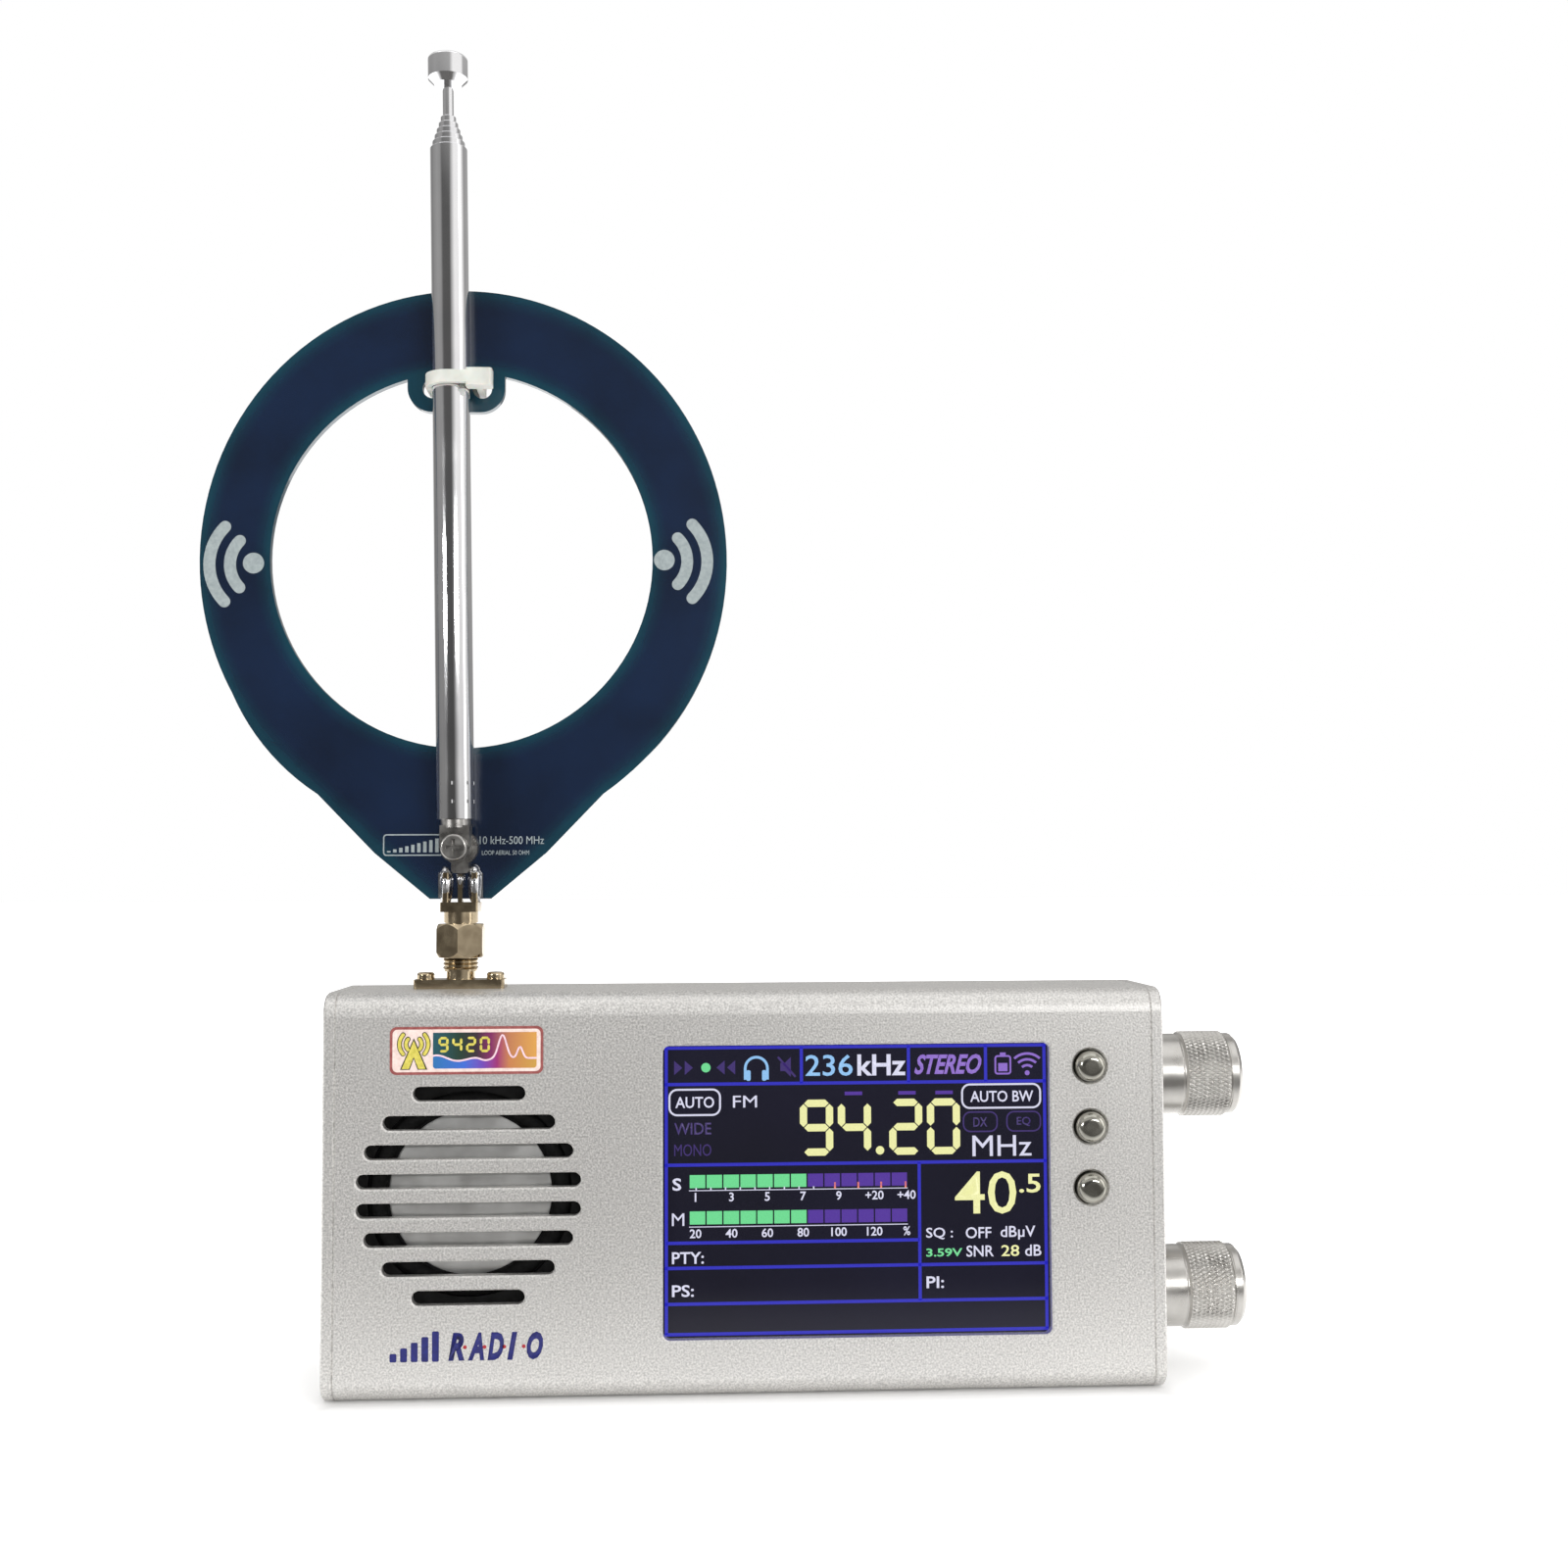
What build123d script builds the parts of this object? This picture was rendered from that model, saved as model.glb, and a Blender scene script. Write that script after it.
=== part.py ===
from build123d import *
from math import pi, radians, tan
import os

# Handheld multiband radio receiver with a loop board and a telescopic whip on its aerial socket.
# Millimetres. Origin: centre of the case's underside. +X towards the knobs, -Y front, +Z up.

os.makedirs("parts", exist_ok=True)

# ---------------------------------------------------------------- driving dimensions
case_width = 142.6
case_depth = 28.0
case_height = 68.1
corner_radius = 4.0
wall = 2.0
plate_thickness = 2.0
edge_break = 0.3
seam_break = 0.18

window_x, window_z = 18.6, 34.3
window_width, window_height = 66.0, 49.2

speaker_x, speaker_z = -46.9, 34.3
slot_pitch, slot_height = 4.84, 2.45
slot_half_lengths = [9.4, 14.4, 17.45, 18.75]

button_x, button_z = 58.55, 44.6
button_pitch = 10.3
button_radius = 2.6
button_proud = 2.0

knob_heights = {"tuning": 51.9, "volume": 14.45}
knob_radius = 7.5
knob_collar_radius = 7.1

socket_x = -50.2
ring_half_width, ring_half_height = 46.6, 48.7
ring_offset, ring_z = 0.5, 144.0
opening_radius, opening_z = 33.8, 144.2
board_thickness = 1.6

pivot_z = 92.8
whip_y = -5.0
whip_lean = 0.9
tube_length = 119.3
tube_outer_diameters = [6.5, 5.7, 4.9, 4.15, 3.4, 2.7]
tube_wall = 0.25
rod_diameter = 1.9
tip_step = 1.15
running_gap = 0.05
clear_gap = 0.3

# ---------------------------------------------------------------- derived places
shell_length = case_width - 2 * plate_thickness
shell_end = shell_length / 2
case_end = case_width / 2
front_y = -case_depth / 2
inside_front_y = front_y + wall
inside_back_y = case_depth / 2 - wall
inside_top_z = case_height - wall
button_heights = [button_z + button_pitch, button_z, button_z - button_pitch]
slot_rows = slot_half_lengths + slot_half_lengths[::-1]
top_slot_z = speaker_z + slot_pitch * (len(slot_rows) - 1) / 2

port_radius = 2.2
port_bore = 1.05
port_inset_y = 2.0
port_points = [
    (y, z)
    for y in (inside_front_y + port_inset_y, inside_back_y - port_inset_y)
    for z in (wall + port_inset_y, inside_top_z - port_inset_y)
]

pcb_front_y = 1.0
pcb_thickness = 1.6
pcb_back_y = pcb_front_y + pcb_thickness
pcb_left, pcb_right = -68.6, 61.7
usb_z, phones_z, switch_z = 16.0, 34.0, 53.0


def front_plane(y):
    """Sketch plane facing the front: x is X, y is Z, and a positive extrude goes to -Y."""
    return Plane.XZ.offset(-y)


def write(builder, name):
    builder.part.label = name
    export_step(builder.part, f"parts/{name}.step")


# ---------------------------------------------------------------- case shell
guide_height = 1.5
guide_width = 1.0
guide_slack = 0.1
guide_centres_y = [
    pcb_front_y - guide_slack - guide_width / 2,
    pcb_back_y + guide_slack + guide_width / 2,
]
button_hole_radius = 2.85
socket_hole_radius = 2.6
socket_screw_offset = 6.1
socket_screw_hole_radius = 0.8

with BuildPart() as extruded_shell:
    with BuildSketch(Plane.YZ.offset(-shell_end)):
        with Locations((0, case_height / 2)):
            RectangleRounded(case_depth, case_height, corner_radius)
            RectangleRounded(
                case_depth - 2 * wall,
                case_height - 2 * wall,
                corner_radius - wall,
                mode=Mode.SUBTRACT,
            )
        with Locations(*port_points):
            Circle(port_radius)
        guide_points = [
            (y, z)
            for y in guide_centres_y
            for z in (wall + guide_height / 2, inside_top_z - guide_height / 2)
        ]
        with Locations(*guide_points):
            Rectangle(guide_width, guide_height)
        with Locations(*port_points):
            Circle(port_bore, mode=Mode.SUBTRACT)
    extrude(amount=shell_length)
    # display window, grille slots and button holes through the front wall
    with BuildSketch(front_plane(front_y)):
        with Locations((window_x, window_z)):
            RectangleRounded(window_width, window_height, 1.2)
        for row, half_length in enumerate(slot_rows):
            with Locations((speaker_x, top_slot_z - row * slot_pitch)):
                SlotOverall(2 * half_length, slot_height)
        with Locations(*[(button_x, z) for z in button_heights]):
            Circle(button_hole_radius)
    extrude(amount=-wall - 0.1, mode=Mode.SUBTRACT)
    front_openings = extruded_shell.faces().filter_by(Plane.XZ).sort_by(Axis.Y)[0].inner_wires()
    chamfer(front_openings.edges(), edge_break)
    # small bevel round both ends, which makes the seam line at each end plate
    end_faces = extruded_shell.faces().filter_by(Plane.YZ).sort_by(Axis.X)
    chamfer(end_faces[0].outer_wire().edges() + end_faces[-1].outer_wire().edges(), seam_break)
    # aerial socket hole and its two screw holes through the top
    with BuildSketch(Plane.XY.offset(case_height)):
        with Locations((socket_x, 0)):
            Circle(socket_hole_radius)
            with Locations((-socket_screw_offset, 0), (socket_screw_offset, 0)):
                Circle(socket_screw_hole_radius)
    extrude(amount=-wall - guide_height - 0.1, mode=Mode.SUBTRACT)
write(extruded_shell, "extruded_shell")

# ---------------------------------------------------------------- end plates and their screws
plate_hole_radius = 1.35
plate_head_radius = 2.3
plate_head_depth = plate_head_radius - plate_hole_radius
plate_screw_length = 9.0
bushing_radius = 3.5
bushing_hole_radius = 3.6


def plate_blank(x, outward):
    """Rounded end plate lying outward of x, with four countersunk screw holes."""
    with BuildPart() as blank:
        with BuildSketch(Plane.YZ.offset(x)):
            with Locations((0, case_height / 2)):
                RectangleRounded(case_depth, case_height, corner_radius)
        extrude(amount=outward * plate_thickness)
        inner, outer = blank.faces().filter_by(Plane.YZ).sort_by(Axis.X)[::outward]
        chamfer(outer.outer_wire().edges(), edge_break)
        chamfer(inner.outer_wire().edges(), seam_break)
        with BuildSketch(Plane.YZ.offset(x)):
            with Locations(*port_points):
                Circle(plate_hole_radius)
        extrude(amount=outward * plate_thickness, mode=Mode.SUBTRACT)
        for y, z in port_points:
            with BuildSketch(Plane.YZ.offset(x + outward * plate_thickness)):
                with Locations((y, z)):
                    Circle(plate_head_radius)
            extrude(amount=-outward * plate_head_depth, taper=45, mode=Mode.SUBTRACT)
    return blank


with BuildPart() as right_end_plate:
    add(plate_blank(shell_end, 1).part)
    with BuildSketch(Plane.YZ.offset(shell_end)):
        with Locations(*[(0, z) for z in knob_heights.values()]):
            Circle(bushing_hole_radius)
    extrude(amount=plate_thickness, mode=Mode.SUBTRACT)
write(right_end_plate, "right_end_plate")

phones_barrel_radius = 2.5
phones_y = pcb_back_y + 3.0
usb_y = pcb_back_y + 1.75
switch_y = pcb_back_y + 1.9
switch_travel = 2.0
lever_length = 2.0
lever_width = 1.6

with BuildPart() as left_end_plate:
    add(plate_blank(-shell_end, -1).part)
    with BuildSketch(Plane.YZ.offset(-shell_end)):
        with Locations((usb_y, usb_z)):
            SlotOverall(9.5, 3.8, rotation=90)
        with Locations((phones_y, phones_z)):
            Circle(phones_barrel_radius + 0.15)
        with Locations((switch_y, switch_z + switch_travel / 2)):
            Rectangle(lever_width + 0.8, lever_length + switch_travel + 1.0)
    extrude(amount=-plate_thickness, mode=Mode.SUBTRACT)
write(left_end_plate, "left_end_plate")

with BuildPart() as end_plate_screws:
    for outward in (-1, 1):
        plate_face_x = outward * case_end
        for y, z in port_points:
            with BuildSketch(Plane.YZ.offset(plate_face_x - outward * 0.05)):
                with Locations((y, z)):
                    Circle(plate_head_radius - 0.1)
            extrude(amount=-outward * (plate_head_depth + 0.05), taper=45)
            with BuildSketch(Plane.YZ.offset(plate_face_x - outward * 0.5)):
                with Locations((y, z)):
                    Circle(port_bore)
            extrude(amount=-outward * plate_screw_length)
            with BuildSketch(Plane.YZ.offset(plate_face_x)):
                with Locations((y, z)):
                    RegularPolygon(0.85, 6)
            extrude(amount=-outward * 0.7, mode=Mode.SUBTRACT)
write(end_plate_screws, "end_plate_screws")

# ---------------------------------------------------------------- main board and its modules
pcb_bottom = wall + 0.2
pcb_top = inside_top_z - 0.2

with BuildPart() as main_pcb:
    with BuildSketch(front_plane(pcb_front_y)):
        with BuildLine():
            Polyline(
                (pcb_left, pcb_bottom),
                (pcb_right, pcb_bottom),
                (pcb_right, pcb_top),
                (socket_x + 5, pcb_top),
                (socket_x + 5, pcb_top - 5),
                (socket_x - 5, pcb_top - 5),
                (socket_x - 5, pcb_top),
                (pcb_left, pcb_top),
                close=True,
            )
        make_face()
    extrude(amount=-pcb_thickness)
write(main_pcb, "main_pcb")

with BuildPart() as tuner_shield:
    with BuildSketch(front_plane(pcb_front_y)):
        with Locations((-8, 50)):
            RectangleRounded(22, 18, 1)
    extrude(amount=3.2)
    offset(amount=-0.3, openings=tuner_shield.faces().sort_by(Axis.Y)[-1])
    with BuildSketch(front_plane(pcb_front_y - 3.2)):
        with Locations((-8, 50)):
            with GridLocations(4, 4, 4, 3):
                Circle(0.8)
    extrude(amount=-0.5, mode=Mode.SUBTRACT)
write(tuner_shield, "tuner_shield")

with BuildPart() as processor_module:
    with BuildSketch(front_plane(pcb_front_y)):
        with Locations((18, 40)):
            Rectangle(18, 25.5)
    extrude(amount=0.8)
    with BuildSketch(front_plane(pcb_front_y - 0.8)):
        with Locations((18, 37.5)):
            RectangleRounded(15.8, 17.6, 0.8)
    extrude(amount=2.4)
write(processor_module, "processor_module")

with BuildPart() as battery:
    with BuildSketch(front_plane(pcb_back_y + 0.4)):
        with Locations((18, 34)):
            RectangleRounded(62, 50, 2)
    extrude(amount=-8.2)
    fillet(battery.edges().filter_by(Axis.Z), 1.8)
write(battery, "battery")

# ---------------------------------------------------------------- display
glass_thickness = 1.0
panel_thickness = 2.8
panel_left, panel_width, panel_height = -23.6, 77.6, 55.0
panel_front_y = inside_front_y + glass_thickness
panel_back_y = panel_front_y + panel_thickness

with BuildPart() as touch_glass:
    with BuildSketch(front_plane(inside_front_y)):
        with Locations((window_x, window_z)):
            RectangleRounded(window_width + 3.6, window_height + 3.4, 1.5)
    extrude(amount=-glass_thickness)
write(touch_glass, "touch_glass")

with BuildPart() as lcd_panel:
    with BuildSketch(front_plane(panel_front_y)):
        with Locations((panel_left + panel_width / 2, window_z)):
            RectangleRounded(panel_width, panel_height, 1)
    extrude(amount=-panel_thickness)
    with BuildSketch(front_plane(panel_back_y)):
        with Locations((window_x, window_z)):
            Rectangle(window_width, window_height)
    extrude(amount=0.4, mode=Mode.SUBTRACT)
write(lcd_panel, "lcd_panel")

ribbon_thickness = 0.3
ribbon_z, ribbon_width = 25.3, 22.0
with BuildPart() as lcd_ribbon:
    ribbon_y = panel_back_y + ribbon_thickness / 2
    with BuildLine(Plane.XY.offset(ribbon_z)):
        FilletPolyline(
            (panel_left + 6, ribbon_y),
            (panel_left - 1.6, ribbon_y),
            (panel_left - 1.6, pcb_front_y - ribbon_thickness / 2),
            (panel_left + 8, pcb_front_y - ribbon_thickness / 2),
            radius=1.5,
        )
    with BuildSketch(Plane.YZ.offset(panel_left + 6)):
        with Locations((ribbon_y, ribbon_z)):
            Rectangle(ribbon_thickness, ribbon_width)
    sweep()
write(lcd_ribbon, "lcd_ribbon")

# ---------------------------------------------------------------- loudspeaker
speaker_plane = Plane(
    origin=(speaker_x, inside_front_y, speaker_z), x_dir=(1, 0, 0), z_dir=(0, 0, 1)
)


def speaker_turned(outline):
    """Turns an outline of (radius, depth behind the front wall) points about the speaker axis."""
    with BuildPart() as turned:
        with BuildSketch(speaker_plane):
            with BuildLine():
                Polyline(*outline, close=True)
            make_face()
        revolve(axis=Axis((speaker_x, 0, speaker_z), (0, 1, 0)))
    return turned


basket_outline = [
    (20, 0), (20, 1.0), (18.6, 1.0), (13.6, 6.4), (9.6, 6.4), (9.6, 5.6), (13.0, 5.6), (17.2, 1.3),
    (17.2, 0),
]
with BuildPart() as speaker_basket:
    add(speaker_turned(basket_outline).part)
    with BuildSketch(front_plane(inside_front_y + 3.7)):
        with Locations((speaker_x, speaker_z)):
            with PolarLocations(15.8, 4, start_angle=45):
                Rectangle(3.6, 8)
    extrude(amount=1.6, both=True, mode=Mode.SUBTRACT)
write(speaker_basket, "speaker_basket")

with BuildPart() as speaker_magnet:
    with BuildSketch(front_plane(inside_front_y + 6.4)):
        with Locations((speaker_x, speaker_z)):
            Circle(11.5)
    extrude(amount=-5.0)
    chamfer(speaker_magnet.faces().sort_by(Axis.Y)[-1].edges(), 0.6)
write(speaker_magnet, "speaker_magnet")

with BuildPart() as speaker_surround:
    with BuildSketch(speaker_plane):
        with BuildLine():
            Line((17.1, 1.3), (16.7, 1.3))
            ThreePointArc((16.7, 1.3), (15.5, 0.45), (14.3, 1.3))
            Line((14.3, 1.3), (13.7, 1.3))
            Line((13.7, 1.3), (13.7, 1.0))
            Line((13.7, 1.0), (14.1, 1.0))
            ThreePointArc((14.1, 1.0), (15.5, 0.12), (16.9, 1.0))
            Line((16.9, 1.0), (17.1, 1.0))
            Line((17.1, 1.0), (17.1, 1.3))
        make_face()
    revolve(axis=Axis((speaker_x, 0, speaker_z), (0, 1, 0)))
write(speaker_surround, "speaker_surround")

# domed cone, with the voice coil's former standing behind it
with BuildPart() as speaker_cone:
    with BuildSketch(speaker_plane):
        with BuildLine():
            Spline((0, 0.5), (7.2, 0.72), (14.1, 1.35), tangents=[(1, 0), (1, 0.12)])
            Polyline(
                (14.1, 1.35),
                (14.1, 1.65),
                (9.0, 1.14),
                (9.0, 6.2),
                (8.6, 6.2),
                (8.6, 1.1),
                (0, 0.8),
                (0, 0.5),
            )
        make_face()
    revolve(axis=Axis((speaker_x, 0, speaker_z), (0, 1, 0)))
write(speaker_cone, "speaker_cone")

# ---------------------------------------------------------------- push buttons and tact switches
flange_radius = 3.5
flange_y = inside_front_y + 0.2
stem_radius = 1.6
tact_size = 6.0
tact_height = 3.6
tact_front_y = pcb_front_y - tact_height
stem_end_y = tact_front_y + 1.2

for number, z in enumerate(button_heights, start=1):
    with BuildPart() as button:
        with BuildSketch(front_plane(flange_y)):
            with Locations((button_x, z)):
                Circle(button_radius)
        extrude(amount=flange_y - front_y + button_proud)
        fillet(button.faces().sort_by(Axis.Y)[0].edges(), 1.5)
        with BuildSketch(front_plane(flange_y)):
            with Locations((button_x, z)):
                Circle(flange_radius)
        extrude(amount=-0.8)
        with BuildSketch(front_plane(flange_y)):
            with Locations((button_x, z)):
                Circle(stem_radius)
        extrude(amount=-(stem_end_y - flange_y))
    write(button, f"button_{number}")

with BuildPart() as tact_switches:
    with BuildSketch(front_plane(pcb_front_y)):
        with Locations(*[(button_x, z) for z in button_heights]):
            RectangleRounded(tact_size, tact_size, 0.5)
    extrude(amount=tact_height)
    with BuildSketch(front_plane(tact_front_y)):
        with Locations(*[(button_x, z) for z in button_heights]):
            Circle(stem_radius + clear_gap)
    extrude(amount=-(tact_height - 0.8), mode=Mode.SUBTRACT)
write(tact_switches, "tact_switches")

# ---------------------------------------------------------------- rotary encoders and knobs
encoder_depth = 6.0
encoder_half = 5.9
slider_room = 1.4
encoder_back_x = shell_end - encoder_depth
shaft_radius = 3.0
shaft_start_x = encoder_back_x + slider_room + 0.6
shaft_end_x = 85.7
bushing_end_x = 75.9
nut_thickness = 2.0
washer_thickness = 0.5
knob_start_x = 72.9
collar_end_x = 77.3
grip_end_x = 85.5
knob_end_x = 87.5
knob_recess_radius = 6.05
knob_recess_end_x = 74.9
bushing_recess_end_x = 76.8


def x_cylinder(x_start, x_end, radius, z, mode=Mode.ADD):
    """Cylinder about a knob axis at height z, added to the part being built."""
    with BuildSketch(Plane.YZ.offset(x_start)) as disc:
        with Locations((0, z)):
            Circle(radius)
    extrude(disc.sketch, amount=x_end - x_start, mode=mode)


for use, z in knob_heights.items():
    with BuildPart() as encoder_body:
        with BuildSketch(Plane.YZ.offset(encoder_back_x)):
            with Locations((0, z)):
                RectangleRounded(2 * encoder_half, 2 * encoder_half, 0.8)
        extrude(amount=encoder_depth)
        x_cylinder(encoder_back_x + 0.5, shell_end, shaft_radius + clear_gap, z, Mode.SUBTRACT)
        x_cylinder(shell_end - 1.0, shell_end, 4.6, z, Mode.SUBTRACT)
        for pin_z in (-2.5, 0, 2.5):
            with BuildSketch(Plane.YZ.offset(encoder_back_x)):
                with Locations((4.0, z + pin_z)):
                    Rectangle(0.4, 0.9)
            extrude(amount=-1.2)
    write(encoder_body, f"{use}_encoder_body")

    with BuildPart() as bushing:
        x_cylinder(shell_end - 1.0, shell_end, 4.6, z)
        x_cylinder(shell_end, bushing_end_x, bushing_radius, z)
        x_cylinder(shell_end - 1.0, bushing_end_x, shaft_radius + running_gap, z, Mode.SUBTRACT)
        chamfer(bushing.faces().sort_by(Axis.X)[-1].outer_wire().edges(), 0.25)
    write(bushing, f"{use}_encoder_bushing")

    with BuildPart() as push_slider:
        slider_x = encoder_back_x + slider_room
        x_cylinder(slider_x, slider_x + 0.5, 2.8, z)
        x_cylinder(slider_x - 0.35, slider_x, 1.2, z)
    write(push_slider, f"{use}_push_slider")

    with BuildPart() as shaft:
        x_cylinder(shaft_start_x, shaft_end_x, shaft_radius, z)
        with BuildSketch(Plane.YZ.offset(bushing_recess_end_x)):
            with Locations((0, z - shaft_radius - 0.5)):
                Rectangle(2 * shaft_radius, 4)
        extrude(amount=shaft_end_x - bushing_recess_end_x, mode=Mode.SUBTRACT)
        chamfer(shaft.faces().sort_by(Axis.X)[-1].edges(), 0.3)
    write(shaft, f"{use}_shaft")

    with BuildPart() as knob:
        x_cylinder(knob_start_x, collar_end_x, knob_collar_radius, z)
        x_cylinder(collar_end_x, grip_end_x, knob_radius, z)
        x_cylinder(grip_end_x, knob_end_x, knob_collar_radius, z)
        chamfer(knob.faces().sort_by(Axis.X)[-1].edges(), 0.8)
        ring_edges = knob.edges().filter_by(GeomType.CIRCLE)
        chamfer(ring_edges.filter_by(lambda edge: abs(edge.radius - knob_radius) < 0.001), 0.35)
        chamfer(knob.faces().sort_by(Axis.X)[0].edges(), 0.3)
        x_cylinder(knob_start_x, knob_recess_end_x, knob_recess_radius, z, Mode.SUBTRACT)
        x_cylinder(knob_recess_end_x, bushing_recess_end_x, 3.9, z, Mode.SUBTRACT)
        x_cylinder(bushing_recess_end_x, shaft_end_x + 0.2, shaft_radius + 0.02, z, Mode.SUBTRACT)
        # threaded hole for the grub screw, from below
        with BuildSketch(Plane.XY.offset(z - knob_radius - 0.1)):
            with Locations((81.8, 0)):
                Circle(1.5)
        extrude(amount=knob_radius - 2.0, mode=Mode.SUBTRACT)
    write(knob, f"{use}_knob")

    with BuildPart() as grub_screw:
        with BuildSketch(Plane.XY.offset(z - knob_radius + 0.7)):
            with Locations((81.8, 0)):
                Circle(1.48)
        extrude(amount=knob_radius - 0.7 - 1.52)
        with BuildSketch(Plane.XY.offset(z - knob_radius + 0.7)):
            with Locations((81.8, 0)):
                RegularPolygon(0.85, 6)
        extrude(amount=1.5, mode=Mode.SUBTRACT)
    write(grub_screw, f"{use}_grub_screw")

with BuildPart() as encoder_nuts:
    nut_x = case_end + washer_thickness
    with BuildSketch(Plane.YZ.offset(nut_x)):
        with Locations(*[(0, z) for z in knob_heights.values()]):
            RegularPolygon(5.0, 6, major_radius=False)
            Circle(bushing_radius, mode=Mode.SUBTRACT)
    extrude(amount=nut_thickness)
write(encoder_nuts, "encoder_nuts")

with BuildPart() as encoder_washers:
    with BuildSketch(Plane.YZ.offset(case_end)):
        with Locations(*[(0, z) for z in knob_heights.values()]):
            Circle(5.7)
            Circle(bushing_radius, mode=Mode.SUBTRACT)
    extrude(amount=washer_thickness)
write(encoder_washers, "encoder_washers")

# ---------------------------------------------------------------- left end sockets and power switch
usb_mouth_x = -case_end + 0.3
usb_depth = 7.3
with BuildPart() as usb_socket:
    with BuildSketch(Plane.YZ.offset(usb_mouth_x)):
        with Locations((usb_y, usb_z)):
            SlotOverall(9.0, 3.3, rotation=90)
    extrude(amount=usb_depth)
    with BuildSketch(Plane.YZ.offset(usb_mouth_x)):
        with Locations((usb_y, usb_z)):
            SlotOverall(8.4, 2.7, rotation=90)
            Rectangle(0.7, 6.7, mode=Mode.SUBTRACT)
    extrude(amount=5.2, mode=Mode.SUBTRACT)
    # seat that stands on the board, behind the end plate
    with BuildSketch(Plane.YZ.offset(-shell_end + 0.5)):
        with Locations(((pcb_back_y + usb_y) / 2, usb_z)):
            Rectangle(usb_y - pcb_back_y, 6.0)
    extrude(amount=usb_depth - 3.0)
    with BuildSketch(Plane.YZ.offset(usb_mouth_x)):
        with Locations((usb_y, usb_z)):
            SlotOverall(8.4, 2.7, rotation=90)
            Rectangle(0.7, 6.7, mode=Mode.SUBTRACT)
    extrude(amount=5.2, mode=Mode.SUBTRACT)
write(usb_socket, "usb_socket")

phones_bore_radius = 1.8
phones_bore_length = 13.0
with BuildPart() as headphone_socket:
    with BuildSketch(Plane.YZ.offset(-shell_end + 0.2)):
        with Locations((phones_y, phones_z)):
            Rectangle(2 * (phones_y - pcb_back_y), 6.5)
    extrude(amount=13.5)
    with BuildSketch(Plane.YZ.offset(-case_end)):
        with Locations((phones_y, phones_z)):
            Circle(phones_barrel_radius)
    extrude(amount=plate_thickness + 0.2)
    with BuildSketch(Plane.YZ.offset(-case_end)):
        with Locations((phones_y, phones_z)):
            Circle(phones_bore_radius)
    extrude(amount=phones_bore_length, mode=Mode.SUBTRACT)
write(headphone_socket, "headphone_socket")

switch_body_x = -shell_end + 0.2
switch_middle_z = switch_z + switch_travel / 2
lip_thickness = 0.8
foot_margin = 0.6
cavity_depth = 1.8
with BuildPart() as power_switch_body:
    with BuildSketch(Plane.YZ.offset(switch_body_x)):
        with Locations((switch_y, switch_middle_z)):
            Rectangle(2 * (switch_y - pcb_back_y), 9.4)
    extrude(amount=3.8)
    with BuildSketch(Plane.YZ.offset(switch_body_x)):
        with Locations((switch_y, switch_middle_z)):
            Rectangle(lever_width + 0.4, lever_length + switch_travel + 0.4)
    extrude(amount=lip_thickness, mode=Mode.SUBTRACT)
    with BuildSketch(Plane.YZ.offset(switch_body_x + lip_thickness)):
        with Locations((switch_y, switch_middle_z)):
            Rectangle(
                lever_width + 2 * foot_margin + 0.4,
                lever_length + switch_travel + 2 * foot_margin + 0.4,
            )
    extrude(amount=cavity_depth, mode=Mode.SUBTRACT)
write(power_switch_body, "power_switch_body")

lever_proud = 1.6
with BuildPart() as power_switch_lever:
    with BuildSketch(Plane.YZ.offset(-case_end - lever_proud)):
        with Locations((switch_y, switch_z)):
            Rectangle(lever_width, lever_length)
    extrude(amount=lever_proud + case_end + switch_body_x + lip_thickness + 0.5)
    chamfer(power_switch_lever.faces().sort_by(Axis.X)[0].edges(), 0.2)
    with BuildSketch(Plane.YZ.offset(switch_body_x + lip_thickness + 0.2)):
        with Locations((switch_y, switch_z)):
            Rectangle(lever_width + 2 * foot_margin, lever_length + 2 * foot_margin)
    extrude(amount=cavity_depth - 0.5)
write(power_switch_lever, "power_switch_lever")

# ---------------------------------------------------------------- aerial socket on the top
flange_length, flange_width, flange_thickness = 15.8, 5.7, 1.6
flange_top_z = case_height + flange_thickness
neck_top_z = flange_top_z + 1.4
thread_radius = 3.15
socket_rim_z = 77.4
insulator_radius = 2.05
contact_radius = 0.63
contact_bottom_z = 61.0
contact_socket_z = 74.5


def z_cylinder(z_start, z_end, radius, mode=Mode.ADD):
    """Cylinder about the aerial socket's axis, added to the part being built."""
    with BuildSketch(Plane.XY.offset(z_start)) as disc:
        with Locations((socket_x, 0)):
            Circle(radius)
    extrude(disc.sketch, amount=z_end - z_start, mode=mode)


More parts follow.
